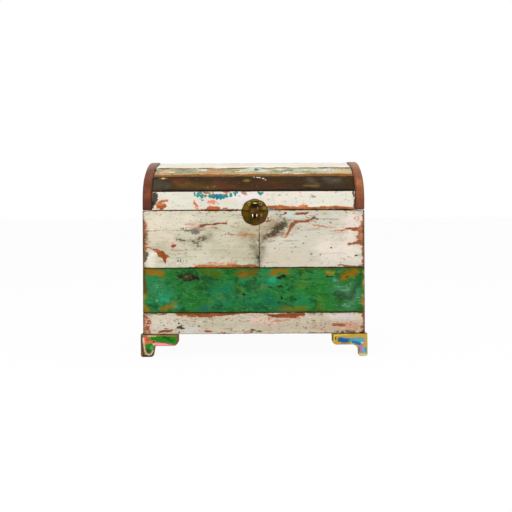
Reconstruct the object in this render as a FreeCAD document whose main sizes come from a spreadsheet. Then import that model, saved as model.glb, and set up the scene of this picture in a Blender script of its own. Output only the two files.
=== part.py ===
"""Dome-top storage chest of reclaimed painted boards, on bracket feet, with a round brass clasp.

Frame: millimetres, +X to the right of someone facing the front, +Y to the back, +Z up.
The origin is on the floor under the middle of the chest.
"""
import FreeCAD, Part
import os
import re
from collections import namedtuple

import Sketcher

# Driving dimensions: name, value in millimetres (or a plain count), what it is.
SIZES = [
    ("body_width", 700, "box, outside, left to right"),
    ("body_depth", 450, "box, outside, front to back"),
    ("body_height", 390, "box walls, bottom edge to rim"),
    ("plank_thickness", 18, "wall boards"),
    ("seam", 0.8, "open joint between neighbouring boards"),
    ("edge_round", 2.5, "rounding of the outer long edges of a board"),
    ("front_lower_height", 67, "lowest board of the front"),
    ("front_middle_height", 140.5, "green board of the front"),
    ("front_butt_offset", 18, "butt joint of the two upper front boards, right of the middle"),
    ("side_lower_height", 128, "lowest board of each side"),
    ("side_middle_height", 112, "middle board of each side"),
    ("back_lower_height", 96, "lowest board of the back"),
    ("back_middle_height", 150, "middle board of the back"),
    ("post_side", 40, "square corner post inside the box"),
    ("post_drop", 3, "top of a post below the rim"),
    ("batten_width", 70, "batten behind the butt joint"),
    ("batten_thickness", 16, "same batten, front to back"),
    ("batten_lap", 60, "how far that batten runs down behind the green board"),
    ("floor_thickness", 14, "floor boards"),
    ("floor_boards", 4, "number of floor boards, front to back"),
    ("cleat_height", 20, "cleat under the ends of the floor boards"),
    ("cleat_width", 22, "same cleat, left to right"),
    ("foot_height", 70.5, "floor to the underside of the box"),
    ("foot_proud", 7, "how far a foot stands out past the box"),
    ("bracket_thickness", 20, "board of a bracket foot"),
        ("foot_corner", 8, "rounding at the bottom of the leg"),
    ("left_arm_length", 119.5, "left brackets, along the box"),
    ("left_arm_height", 36, "left brackets, height of the arm"),
    ("left_leg_top", 46, "left brackets, leg where it meets the arm"),
    ("left_leg_bottom", 40, "left brackets, leg at the floor"),
    ("left_cove", 6, "left brackets, hollow between arm and leg"),
    ("left_arm_corner", 18, "left brackets, rounding of the arm's free end"),
    ("right_arm_length", 111.5, "right brackets, along the box"),
    ("right_arm_height", 34, "right brackets, height of the arm"),
    ("right_leg_top", 29, "right brackets, leg where it meets the arm"),
    ("right_leg_bottom", 28, "right brackets, leg at the floor"),
    ("right_cove", 19, "right brackets, hollow between arm and leg"),
    ("right_arm_corner", 15, "right brackets, rounding of the arm's free end"),
    ("block_side", 45, "corner block inside a foot, square"),
    ("block_height", 32, "same block, height"),
    ("lid_gap", 1, "open joint between rim and lid"),
    ("lid_height", 165.5, "lid, bottom edge to the top of its end boards"),
    ("lid_overhang", 6, "end boards of the lid past the front and back of the box"),
    ("end_thickness", 29, "end boards of the lid"),
    ("lid_spring", 30, "straight foot of an end board, below its curve"),
    ("shoulder_radius", 95, "tight curve of an end board"),
    ("reveal", 4, "staves below the curved edge of the end boards"),
    ("stave_thickness", 15, "lid boards"),
    ("rail_height", 59, "upright front and back boards of the lid"),
    ("shoulder_joint", 14, "joint between shoulder and haunch staves, below the top of the tight curve"),
    ("crown_joint", 122, "joint between haunch and crown staves, from the middle"),
    ("rib_width", 28, "rib under the staves, across its curve"),
    ("rib_thickness", 22, "same rib, left to right"),
    ("hinge_inset", 135, "middle of a hinge, from the end of the box"),
    ("hinge_length", 70, "hinge, along its pin"),
    ("leaf_width", 34, "hinge leaf, from the pin"),
    ("leaf_lap", 1, "neck of a knuckle onto its leaf"),
    ("leaf_thickness", 2, "hinge leaf"),
    ("knuckle_radius", 6, "hinge knuckles"),
    ("knuckle_count", 5, "knuckles of one hinge, three below and two above"),
    ("knuckle_gap", 0.3, "play between neighbouring knuckles"),
    ("hinge_standoff", 0.3, "knuckles clear of the wood"),
    ("pin_radius", 3, "hinge pin"),
    ("pin_play", 0.05, "pin in its knuckles"),
    ("screw_pitch", 22, "screws of a leaf, one to the next"),
    ("screw_line", 21, "row of screws, from the pin"),
    ("screw_radius", 1.8, "screw shank"),
    ("screw_head_radius", 3.6, "screw head"),
    ("screw_head_height", 1.6, "screw head"),
    ("screw_length", 14, "screw shank"),
    ("hole_play", 0.1, "fastener in its hole"),
    ("clasp_offset", 4, "clasp, right of the middle"),
    ("clasp_drop", 6, "middle of the round plate below the rim"),
    ("lobe_count", 8, "lobes round the plate"),
    ("lobe_ring", 15, "middles of the lobes, from the middle of the plate"),
    ("lobe_radius", 27.5, "one lobe"),
    ("plate_thickness", 1.6, "round plate"),
    ("hasp_pin_height", 22, "hasp pin above the rim"),
    ("hasp_pin_radius", 1.5, "hasp pin"),
    ("hasp_knuckle_radius", 3.4, "barrel of the hasp"),
    ("hasp_knuckle_length", 25, "barrel of the hasp"),
    ("lug_length", 5, "lug of the plate at each end of the barrel"),
    ("hasp_thickness", 2, "hasp plate"),
    ("hasp_clear", 0.5, "hasp in front of the round plate"),
    ("barrel_inset", 0.2, "back of the hasp plate, inside the back of its barrel"),
    ("hasp_neck", 6, "straight neck below the barrel"),
    ("hasp_shoulder_drop", 11, "widest place of the hasp, below the pin"),
    ("hasp_half_width", 18, "hasp at its widest"),
    ("hasp_side", 12, "straight side at the widest place"),
    ("hasp_tip_half", 13.5, "half the width where the round end starts"),
    ("hasp_tip_radius", 15, "round end of the hasp"),
    ("hasp_tip_drop", 51.5, "start of the round end below the pin"),
    ("eye_spacing", 13, "two eyes, side to side"),
    ("eye_drop", 17.5, "eyes below the rim"),
    ("eye_radius", 6, "bend of an eye, to the middle of its wire"),
    ("eye_stand", 3, "straight part of an eye in front of the round plate"),
    ("wire_radius", 1.6, "wire of an eye"),
    ("slot_play", 0.8, "eye in the slot of the hasp"),
    ("nail_radius", 1.1, "plate nails, shank"),
    ("nail_head_radius", 2.6, "plate nails, head"),
    ("nail_head_height", 1.2, "plate nails, head"),
    ("nail_length", 12, "plate nails, shank"),
    ("nail_spread", 31, "plate nails, from the middle of the clasp"),
    ("nail_rise", 9, "upper plate nails above the rim"),
    ("nail_fall", 17, "lower side nails below the rim"),
    ("nail_bottom", 42, "lowest plate nail below the rim"),
]

# Lengths that follow from the driving dimensions.
FORMULAS = {
    "half_width": "body_width / 2",
    "half_depth": "body_depth / 2",
    "rim": "foot_height + body_height",
    "lid_base": "rim + lid_gap",
    "inner_half_width": "half_width - plank_thickness",
    "inner_half_depth": "half_depth - plank_thickness",
    "front_upper_height": "body_height - front_lower_height - front_middle_height - 2 * seam",
    "side_upper_height": "body_height - side_lower_height - side_middle_height - 2 * seam",
    "back_upper_height": "body_height - back_lower_height - back_middle_height - 2 * seam",
    "floor_top": "foot_height + cleat_height + floor_thickness",
    "floor_board_width": "(2 * inner_half_depth - (floor_boards + 1) * seam) / floor_boards",
    "foot_x": "half_width + foot_proud",
    "foot_y": "half_depth + foot_proud",
    # The end boards' outline is an arch of three arcs: a tight shoulder each side, a wide crown between.
    "arch_half": "half_depth + lid_overhang",
    "arch_rise": "lid_height - lid_spring",
    "shoulder_y": "arch_half - shoulder_radius",
    "crown_radius": "(shoulder_y ^ 2 + arch_rise ^ 2 - shoulder_radius ^ 2)"
                    " / (2 * (arch_rise - shoulder_radius))",
    "crown_z": "lid_height - crown_radius",
    "arc_turn_y": "shoulder_y / (crown_radius - shoulder_radius)",
    "arc_turn_z": "(lid_spring - crown_z) / (crown_radius - shoulder_radius)",
    "lid_inner_width": "body_width - 2 * end_thickness",
    # The rails' upper corner, as a direction from the shoulder's middle.
    "rail_reach": "sqrt((half_depth - shoulder_y) ^ 2 + (rail_height - lid_spring) ^ 2)",
    "rail_turn_y": "(half_depth - shoulder_y) / rail_reach",
    "rail_turn_z": "(rail_height - lid_spring) / rail_reach",
    # The shoulder joint, as a direction from the shoulder's middle.
    "joint_turn_z": "1 - shoulder_joint / stave_shoulder",
    "joint_turn_y": "sqrt(1 - joint_turn_z ^ 2)",
    # The crown joint, as a direction from the crown's middle.
    "stave_crown": "crown_radius - reveal",
    "stave_shoulder": "shoulder_radius - reveal",
    "crown_turn_y": "crown_joint / stave_crown",
    "crown_turn_z": "sqrt(1 - crown_turn_y ^ 2)",
    "hinge_offset": "half_width - hinge_inset",
    "hinge_y": "half_depth + hinge_standoff + knuckle_radius",
    "hinge_z": "rim + lid_gap / 2",
    "knuckle_pitch": "hinge_length / knuckle_count",
    "plate_y": "half_depth + plate_thickness",
    "hasp_y": "plate_y + hasp_clear + hasp_knuckle_radius - barrel_inset",
    "hasp_z": "rim + hasp_pin_height",
    "slot_half_width": "wire_radius + slot_play",
    "slot_half_height": "eye_radius + wire_radius + slot_play",
    "eye_z": "rim - eye_drop",
}

NAMES = re.compile(r"[a-z_][a-z_0-9]*")
FUNCTIONS = {"sqrt"}
SIZE_NAMES = {name for name, _, _ in SIZES}

# A run of an outline that is an arc: its middle, its radius, and whether it turns left.
Bend = namedtuple("Bend", "u v radius left")

doc = FreeCAD.newDocument("storage_chest")
sheet = doc.addObject("Spreadsheet::Sheet", "Sizes")
for row, (name, size, note) in enumerate(SIZES, start=1):
    sheet.set(f"A{row}", note)
    sheet.set(f"B{row}", str(size))
    sheet.setAlias(f"B{row}", name)
doc.recompute()


def formula(text):
    """The expression that the document evaluates for a formula in plain names."""
    def expand(match):
        word = match.group()
        if word in SIZE_NAMES:
            return f"Sizes.{word}"
        return word if word in FUNCTIONS else f"({formula(FORMULAS[word])})"
    return NAMES.sub(expand, text)


def value(text):
    """What a formula comes to now."""
    return float(sheet.evalExpression(formula(text)))


def bind(item, prop, text):
    """Ties one property of a document object to the sheet."""
    item.setExpression(prop, formula(text))


def place(item, x, y, z):
    """Ties the position of a document object to the sheet."""
    for axis, text in zip("xyz", (x, y, z)):
        bind(item, f"Placement.Base.{axis}", text)


def new_body(label, at=("0", "0", "0")):
    """An empty body, placed."""
    body = doc.addObject("PartDesign::Body", label)
    body.Label = label
    place(body, *at)
    return body


def new_sketch(body, plane, offset="0"):
    """A sketch on one of the body's own planes, moved along the plane's normal."""
    sketch = body.newObject("Sketcher::SketchObject", f"{body.Name}_sketch")
    support = next(f for f in body.Origin.OriginFeatures if f.Role == plane)
    sketch.AttachmentSupport = (support, "")
    sketch.MapMode = "FlatFace"
    bind(sketch, "AttachmentOffset.Base.z", offset)
    return sketch


def pin_point(sketch, edge, end, u, v):
    """Ties one point of a sketch to formulas for its two coordinates."""
    for kind, axis, text in (("DistanceX", -2, u), ("DistanceY", -1, v)):
        now = value(text)
        if abs(now) < 1e-9:
            sketch.addConstraint(Sketcher.Constraint("PointOnObject", edge, end, axis))
        elif now > 0:
            held = sketch.addConstraint(Sketcher.Constraint(kind, -1, 1, edge, end, now))
            sketch.setExpression(f"Constraints[{held}]", formula(text))
        else:
            held = sketch.addConstraint(Sketcher.Constraint(kind, edge, end, -1, 1, -now))
            sketch.setExpression(f"Constraints[{held}]", formula(f"-({text})"))


def draw_outline(sketch, runs):
    """A closed outline. Each run is its first point's two formulas and, for an arc, its Bend."""
    spots = [FreeCAD.Vector(value(run[0]), value(run[1]), 0) for run in runs]
    first = sketch.GeometryCount
    for index, run in enumerate(runs):
        start, end = spots[index], spots[(index + 1) % len(runs)]
        if len(run) == 2:
            sketch.addGeometry(Part.LineSegment(start, end))
            continue
        bend = run[2]
        middle = FreeCAD.Vector(value(bend.u), value(bend.v), 0)
        across = (start - middle) + (end - middle)
        if across.Length < 1e-6:
            across = (end - start).cross(FreeCAD.Vector(0, 0, 1 if bend.left else -1))
        over = middle + across.normalize() * value(bend.radius)
        sketch.addGeometry(Part.Arc(start, over, end))
    ends = []
    for index, spot in enumerate(spots):
        edge = first + index
        start_end = 1 if (sketch.getPoint(edge, 1) - spot).Length < 1e-6 else 2
        ends.append((edge, start_end, 3 - start_end))
    for index, (edge, start, end) in enumerate(ends):
        pin_point(sketch, edge, start, runs[index][0], runs[index][1])
        following = ends[(index + 1) % len(ends)]
        sketch.addConstraint(Sketcher.Constraint("Coincident", edge, end, following[0], following[1]))
        if len(runs[index]) == 3:
            radius = runs[index][2].radius
            held = sketch.addConstraint(Sketcher.Constraint("Radius", edge, value(radius)))
            sketch.setExpression(f"Constraints[{held}]", formula(radius))


def draw_circles(sketch, centres, radius):
    """Circles of one radius."""
    for u, v in centres:
        middle = FreeCAD.Vector(value(u), value(v), 0)
        edge = sketch.addGeometry(Part.Circle(middle, FreeCAD.Vector(0, 0, 1), value(radius)))
        held = sketch.addConstraint(Sketcher.Constraint("Radius", edge, value(radius)))
        sketch.setExpression(f"Constraints[{held}]", formula(radius))
        pin_point(sketch, edge, 3, u, v)


def pad(body, sketch, length):
    """A pad to both sides of its sketch."""
    feature = body.newObject("PartDesign::Pad", f"{body.Name}_pad")
    feature.Profile = sketch
    feature.SideType = "Symmetric"
    bind(feature, "Length", length)
    doc.recompute()
    return feature


def cut_through(body, sketch):
    """A cut through everything, to both sides of its sketch."""
    before = body.Shape.Volume
    feature = body.newObject("PartDesign::Pocket", f"{body.Name}_cut")
    feature.Profile = sketch
    feature.SideType = "Symmetric"
    feature.Type = "ThroughAll"
    doc.recompute()
    assert body.Shape.Volume < before, f"{body.Label}: a cut misses the solid"
    return feature


def drill(body, centres, radius, depth, face_y, from_back=False):
    """Round holes along Y, into the front or the back face of a body."""
    before = body.Shape.Volume
    sketch = new_sketch(body, "XZ_Plane", f"-({face_y})")
    draw_circles(sketch, centres, radius)
    feature = body.newObject("PartDesign::Pocket", f"{body.Name}_holes")
    feature.Profile = sketch
    feature.Reversed = from_back
    bind(feature, "Length", depth)
    doc.recompute()
    assert body.Shape.Volume < before, f"{body.Label}: its holes miss the solid"


def round_edges(body, chosen, radius):
    """Rounds the edges of a body's last feature that the test picks."""
    base = body.Tip
    names = [f"Edge{n}" for n, edge in enumerate(base.Shape.Edges, start=1) if chosen(edge)]
    assert names, f"{body.Label}: no edge to round"
    feature = body.newObject("PartDesign::Fillet", f"{body.Name}_round")
    feature.Base = (base, names)
    bind(feature, "Radius", radius)
    doc.recompute()


def round_corners(body, corners, axes, radius):
    """Rounds the edges through the thickness of a padded piece, at corners of its outline."""
    spots = [(value(u), value(v)) for u, v in corners]

    def chosen(edge):
        points = [tuple(getattr(vertex.Point, axis) for axis in axes) for vertex in edge.Vertexes]
        return any(all(abs(p[0] - u) + abs(p[1] - v) < 1e-4 for p in points) for u, v in spots)
    round_edges(body, chosen, radius)


def board(label, size, at, outer=None):
    """A sawn board: its three sizes, its lowest corner, and the axis and end of its weathered face."""
    body = new_body(label, at)
    block = body.newObject("PartDesign::AdditiveBox", f"{label}_block")
    for prop, text in zip(("Length", "Width", "Height"), size):
        bind(block, prop, text)
    doc.recompute()
    if outer:
        axis, far = outer
        level = value(size["xyz".index(axis)]) if far else 0

        def on_face(edge):
            return all(abs(getattr(v.Point, axis) - level) < 1e-6 for v in edge.Vertexes)
        round_edges(body, on_face, "edge_round")
    return body


def wall_levels(wall):
    """Bottom and height of the three boards of a wall: front, side or back."""
    middle = f"foot_height + {wall}_lower_height + seam"
    upper = f"{middle} + {wall}_middle_height + seam"
    return {
        "lower": ("foot_height", f"{wall}_lower_height"),
        "middle": (middle, f"{wall}_middle_height"),
        "upper": (upper, f"{wall}_upper_height"),
    }


def clasp_points(*points):
    """Places on the clasp, from its own middle line and the rim, as places in the chest."""
    return [(f"clasp_offset + ({u})", f"rim + ({v})") for u, v in points]


def eye_holes():
    """Where the legs of the two eyes go through."""
    sides = ("-eye_spacing / 2", "eye_spacing / 2")
    return clasp_points(*[(u, f"-eye_drop + ({v})") for u in sides for v in ("-eye_radius", "eye_radius")])


def local(points, x, z):
    """Places in the chest as places in a board whose lowest corner is at x and z."""
    return [(f"{u} - ({x})", f"{v} - ({z})") for u, v in points]


def screw_places(side, way):
    """Screws of one hinge leaf: side of the chest, and up or down from the pin."""
    return [(f"{side} * hinge_offset + {step} * screw_pitch", f"hinge_z + {way} * screw_line")
            for step in (-1, 0, 1)]


UPPER_NAILS = clasp_points(("-nail_spread", "nail_rise"), ("nail_spread", "nail_rise"))
LOWER_NAILS = clasp_points(("-nail_spread", "-nail_fall"), ("nail_spread", "-nail_fall"),
                           ("0", "-nail_bottom"))
SIDES = (("left", -1), ("right", 1))
ENDS = (("front", -1), ("back", 1))


def make_front():
    """Front wall: two boards butted end to end above, one green board, one low board."""
    levels = wall_levels("front")
    for name in ("lower", "middle"):
        bottom, height = levels[name]
        board(f"front_{name}_plank", ("body_width", "plank_thickness", height),
              ("-half_width", "-half_depth", bottom), ("y", False))
    bottom, height = levels["upper"]
    left_width = "half_width + front_butt_offset - seam / 2"
    left = board("front_upper_left_plank", (left_width, "plank_thickness", height),
                 ("-half_width", "-half_depth", bottom), ("y", False))
    right_x = "front_butt_offset + seam / 2"
    right = board("front_upper_right_plank", (f"half_width - ({right_x})", "plank_thickness", height),
                  (right_x, "-half_depth", bottom), ("y", False))
    drill(left, local(eye_holes(), "-half_width", bottom), "wire_radius + hole_play", "plank_thickness", "0")
    drill(left, local([LOWER_NAILS[0], LOWER_NAILS[2]], "-half_width", bottom),
          "nail_radius + hole_play", "nail_length", "0")
    drill(right, local([LOWER_NAILS[1]], right_x, bottom), "nail_radius + hole_play", "nail_length", "0")
    batten_z = f"{bottom} - seam - batten_lap"
    board("front_seam_batten", ("batten_width", "batten_thickness", f"rim - post_drop - ({batten_z})"),
          ("front_butt_offset - batten_width / 2", "-inner_half_depth", batten_z))


def make_back():
    """Back wall: three boards, the top one drilled for the hinges."""
    for name, (bottom, height) in wall_levels("back").items():
        plank = board(f"back_{name}_plank", ("body_width", "plank_thickness", height),
                      ("-half_width", "inner_half_depth", bottom), ("y", True))
        if name == "upper":
            screws = screw_places(-1, -1) + screw_places(1, -1)
            drill(plank, local(screws, "-half_width", bottom), "screw_radius + hole_play",
                  "screw_length", "plank_thickness", from_back=True)


def make_sides():
    """Side walls, between the front and the back."""
    for side, way in SIDES:
        x = "-half_width" if way < 0 else "inner_half_width"
        for name, (bottom, height) in wall_levels("side").items():
            board(f"{side}_{name}_plank", ("plank_thickness", "2 * inner_half_depth", height),
                  (x, "-inner_half_depth", bottom), ("x", way > 0))


def make_inside():
    """Corner posts, and a floor of loose boards on two cleats."""
    for side, way in SIDES:
        x = "-inner_half_width" if way < 0 else "inner_half_width - post_side"
        for end, ahead in ENDS:
            y = "-inner_half_depth" if ahead < 0 else "inner_half_depth - post_side"
            board(f"corner_post_{end}_{side}", ("post_side", "post_side", "rim - post_drop - floor_top"),
                  (x, y, "floor_top"))
        cleat_x = "-inner_half_width" if way < 0 else "inner_half_width - cleat_width"
        board(f"floor_cleat_{side}", ("cleat_width", "2 * inner_half_depth", "cleat_height"),
              (cleat_x, "-inner_half_depth", "foot_height"))
    for index in range(int(value("floor_boards"))):
        y = f"-inner_half_depth + seam + {index} * (floor_board_width + seam)"
        board(f"floor_board_{index + 1}", ("2 * inner_half_width", "floor_board_width", "floor_thickness"),
              ("-inner_half_width", y, "foot_height + cleat_height"))


def bracket(label, plane, side, way, start, at):
    """One board of a bracket foot, sawn to an arm and a leg. way is the direction of its arm."""
    arm_bottom = f"foot_height - {side}_arm_height"
    corners = {
        "heel": (start, "0"),
        "toe": (f"{side}_leg_bottom", "0"),
        "crook": (f"{side}_leg_top", arm_bottom),
        "tip": (f"{side}_arm_length", arm_bottom),
        "tip_top": (f"{side}_arm_length", "foot_height"),
        "heel_top": (start, "foot_height"),
    }
    corners = {name: (f"{way} * ({u})", v) for name, (u, v) in corners.items()}
    body = new_body(label, at)
    sketch = new_sketch(body, plane)
    draw_outline(sketch, list(corners.values()))
    pad(body, sketch, "bracket_thickness")
    axes = "xz" if plane == "XZ_Plane" else "yz"
    round_corners(body, [corners["tip"]], axes, f"{side}_arm_corner")
    round_corners(body, [corners["crook"]], axes, f"{side}_cove")
    bottom = ["toe"] if start != "0" else ["heel", "toe"]
    round_corners(body, [corners[name] for name in bottom], axes, "foot_corner")
    return body


def make_feet():
    """Four bracket feet: a board along the front or back, one behind it along the side, and a block."""
    blocks = []
    for side, way in SIDES:
        for end, ahead in ENDS:
            across = f"{way} * foot_x"
            bracket(f"foot_{end}_{side}_face", "XZ_Plane", side, -way, "0",
                    (across, f"{ahead} * (foot_y - bracket_thickness / 2)", "0"))
            bracket(f"foot_{end}_{side}_return", "YZ_Plane", side, -ahead, "bracket_thickness",
                    (f"{way} * (foot_x - bracket_thickness / 2)", f"{ahead} * foot_y", "0"))
            corner = (f"{way} * (foot_x - bracket_thickness - block_side / 2)",
                      f"{ahead} * (foot_y - bracket_thickness - block_side / 2)")
            base = value("foot_height - block_height")
            blocks.append(FreeCAD.Vector(value(corner[0]), value(corner[1]), base))
    side = value("block_side")
    shapes = [Part.makeBox(side, side, value("block_height"), spot - FreeCAD.Vector(side / 2, side / 2, 0))
              for spot in blocks]
    group("foot_blocks", shapes)


def group(label, shapes):
    """Identical loose pieces in one node."""
    feature = doc.addObject("Part::Feature", label)
    feature.Label = label
    feature.Shape = Part.makeCompound(shapes)


def make_lid_ends():
    """The two arched end boards."""
    bend_y = "shoulder_y + shoulder_radius * arc_turn_y"
    bend_z = "lid_spring + shoulder_radius * arc_turn_z"
    runs = [
        ("-arch_half", "0"),
        ("arch_half", "0"),
        ("arch_half", "lid_spring", Bend("shoulder_y", "lid_spring", "shoulder_radius", True)),
        (bend_y, bend_z, Bend("0", "crown_z", "crown_radius", True)),
        (f"-({bend_y})", bend_z, Bend("-shoulder_y", "lid_spring", "shoulder_radius", True)),
        ("-arch_half", "lid_spring"),
    ]
    for side, way in SIDES:
        body = new_body(f"lid_end_{side}", (f"{way} * (half_width - end_thickness / 2)", "0", "lid_base"))
        sketch = new_sketch(body, "YZ_Plane")
        draw_outline(sketch, runs)
        pad(body, sketch, "end_thickness")

        def on_arch(edge):
            return edge.BoundBox.XLength < 1e-6 and edge.BoundBox.ZMax > 1e-6
        round_edges(body, on_arch, "edge_round")


def stave_joints(depth):
    """Joints between the lid's boards at a depth below their outer faces, from rim to ridge, at the back."""
    rail = ("half_depth", "rail_height")
    shoulder = ("shoulder_y + stave_shoulder * joint_turn_y", "lid_spring + stave_shoulder * joint_turn_z")
    crown = ("crown_joint", "crown_z + stave_crown * crown_turn_z")
    ridge = ("0", "lid_height - reveal")
    turns = (("rail_turn_y", "rail_turn_z"), ("joint_turn_y", "joint_turn_z"),
             ("crown_turn_y", "crown_turn_z"), ("0", "1"))
    joints = [(f"{u} - ({depth}) * {turn_u}", f"{v} - ({depth}) * {turn_v}")
              for (u, v), (turn_u, turn_v) in zip((rail, shoulder, crown, ridge), turns)]
    foot = (f"half_depth - ({depth}) * rail_turn_y", "0")
    return [foot] + joints


def across_joint(points, step):
    """Moves the ends of a board's faces off its joints by half a seam, along the outer face."""
    (u0, v0), (u1, v1) = points
    length = f"sqrt(({u1} - ({u0})) ^ 2 + ({v1} - ({v0})) ^ 2)"
    du, dv = f"({u1} - ({u0})) / {length}", f"({v1} - ({v0})) / {length}"
    return [(f"{u0} + {step} * {du}", f"{v0} + {step} * {dv}"),
            (f"{u1} - {step} * {du}", f"{v1} - {step} * {dv}")]


def make_lid_staves():
    """Upright rails front and back, and three bevelled staves each side of the ridge."""
    outer, inner = stave_joints("0"), stave_joints("stave_thickness")
    names = ("rail", "shoulder_stave", "haunch_stave", "crown_stave")
    for end, ahead in ENDS:
        for index, name in enumerate(names):
            face = [outer[index], outer[index + 1]]
            back = [inner[index], inner[index + 1]]
            if index > 0:
                face, back = across_joint(face, "seam / 2"), across_joint(back, "seam / 2")
            corners = [(f"{ahead} * ({u})", v) for u, v in face + back[::-1]]
            body = new_body(f"lid_{end}_{name}", ("0", "0", "lid_base"))
            sketch = new_sketch(body, "YZ_Plane")
            draw_outline(sketch, corners)
            pad(body, sketch, "lid_inner_width")
            rounded = [corners[1]] if name == "rail" else corners[:2]
            round_corners(body, rounded, "yz", "edge_round / 2")
            if name == "rail" and ahead < 0:
                drill(body, local(UPPER_NAILS, "0", "lid_base"), "nail_radius + hole_play", "nail_length",
                      "-half_depth")
            if name == "rail" and ahead > 0:
                screws = screw_places(-1, 1) + screw_places(1, 1)
                drill(body, local(screws, "0", "lid_base"), "screw_radius + hole_play", "screw_length",
                      "half_depth", from_back=True)


def make_lid_ribs():
    """A sawn rib inside each end board, which the staves are fixed to."""
    upper, lower = stave_joints("stave_thickness"), stave_joints("stave_thickness + rib_width")
    over = [(f"-({u})", v) for u, v in upper[-2::-1]]
    under = [(f"-({u})", v) for u, v in lower[:-1]]
    corners = upper + over + under + lower[::-1]
    for side, way in SIDES:
        x = f"{way} * (lid_inner_width - rib_thickness) / 2"
        body = new_body(f"lid_rib_{side}", (x, "0", "lid_base"))
        sketch = new_sketch(body, "YZ_Plane")
        draw_outline(sketch, corners)
        pad(body, sketch, "rib_thickness")


def hinge_leaf(label, side, way, knuckles):
    """One leaf: a plate on the wood, its own knuckles round the pin, and three screw holes."""
    centre_x = f"{side} * hinge_offset"
    body = new_body(label, (centre_x, "hinge_y", "hinge_z"))
    edge, far = "knuckle_radius + knuckle_gap", "leaf_width"
    wood_y, face_y = "half_depth - hinge_y", "half_depth - hinge_y + leaf_thickness"
    sketch = new_sketch(body, "YZ_Plane")
    draw_outline(sketch, [(wood_y, f"{way} * ({edge})"), (face_y, f"{way} * ({edge})"),
                          (face_y, f"{way} * {far}"), (wood_y, f"{way} * {far}")])
    pad(body, sketch, "hinge_length")
    for knuckle in knuckles:
        middle = f"({knuckle} + 0.5) * knuckle_pitch - hinge_length / 2"
        barrel = new_sketch(body, "YZ_Plane", middle)
        draw_circles(barrel, [("0", "0")], "knuckle_radius")
        pad(body, barrel, "knuckle_pitch - knuckle_gap")
        neck = new_sketch(body, "YZ_Plane", middle)
        reach = f"{way} * ({edge} + leaf_lap)"
        draw_outline(neck, [("-knuckle_radius", "0"), (face_y, "0"), (face_y, reach), ("-knuckle_radius", reach)])
        pad(body, neck, "knuckle_pitch - knuckle_gap")
    bore = new_sketch(body, "YZ_Plane")
    draw_circles(bore, [("0", "0")], "pin_radius + pin_play")
    cut_through(body, bore)
    drill(body, local(screw_places(side, way), centre_x, "hinge_z"), "screw_radius + hole_play",
          "leaf_thickness", face_y, from_back=True)


def turned(profile, axis_start, axis):
    """A solid of revolution from radius and height pairs along an axis."""
    points = [FreeCAD.Vector(radius, 0, height) for radius, height in profile]
    face = Part.Face(Part.makePolygon(points + points[:1]))
    solid = face.revolve(FreeCAD.Vector(0, 0, 0), FreeCAD.Vector(0, 0, 1), 360)
    solid.Placement = FreeCAD.Placement(axis_start, FreeCAD.Rotation(FreeCAD.Vector(0, 0, 1), axis))
    return solid


def headed_fastener(shank, length, head, height, grip):
    """Profile of a round-headed fastener, its head's seat at height 0 and its tip below."""
    dome = 0.6 * head
    tip = -length - grip
    return [(0, tip), (shank * 0.4, tip), (shank, shank + tip), (shank, 0), (head, 0), (head, 0.4 * height),
            (dome, height), (0, height)]


def make_hinges():
    """Two butt hinges on the outside of the back, with their pins and screws."""
    box_knuckles = range(0, int(value("knuckle_count")), 2)
    lid_knuckles = range(1, int(value("knuckle_count")), 2)
    profile = headed_fastener(value("screw_radius"), value("screw_length"), value("screw_head_radius"),
                              value("screw_head_height"), value("leaf_thickness") - value("hole_play"))
    out = FreeCAD.Vector(0, 1, 0)
    screws = {-1: [], 1: []}
    for side, way in SIDES:
        hinge_leaf(f"hinge_{side}_box_leaf", way, -1, box_knuckles)
        hinge_leaf(f"hinge_{side}_lid_leaf", way, 1, lid_knuckles)
        pin = new_body(f"hinge_{side}_pin", (f"{way} * hinge_offset", "hinge_y", "hinge_z"))
        sketch = new_sketch(pin, "YZ_Plane")
        draw_circles(sketch, [("0", "0")], "pin_radius")
        pad(pin, sketch, "hinge_length")
        for up in (-1, 1):
            for u, v in screw_places(way, up):
                seat = FreeCAD.Vector(value(u), value("half_depth + leaf_thickness"), value(v))
                screws[up].append(turned(profile, seat, out))
    group("hinge_box_screws", screws[-1])
    group("hinge_lid_screws", screws[1])


def lobed_plate(label, way):
    """Half of the round lobed plate, above or below the joint between box and lid."""
    body = new_body(label, ("clasp_offset", "-half_depth - plate_thickness / 2", "rim - clasp_drop"))
    disc = new_sketch(body, "XZ_Plane")
    draw_circles(disc, [("0", "0")], "lobe_ring + lobe_radius / 4")
    pad(body, disc, "plate_thickness")
    lobe = new_sketch(body, "XZ_Plane")
    draw_circles(lobe, [("0", "lobe_ring")], "lobe_radius")
    petal = pad(body, lobe, "plate_thickness")
    ring = body.newObject("PartDesign::PolarPattern", f"{label}_lobes")
    ring.Originals = [petal]
    ring.Axis = (lobe, ["N_Axis"])
    ring.Angle = 360
    bind(ring, "Occurrences", "lobe_count")
    body.Tip = ring
    doc.recompute()
    reach = "2 * (lobe_ring + lobe_radius)"
    level = "clasp_drop" if way < 0 else "clasp_drop + lid_gap"
    waste = new_sketch(body, "XZ_Plane")
    draw_outline(waste, [(f"-{reach}", level), (reach, level), (reach, f"-({way}) * {reach} + {level}"),
                         (f"-{reach}", f"-({way}) * {reach} + {level}")])
    cut_through(body, waste)
    return body


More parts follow.
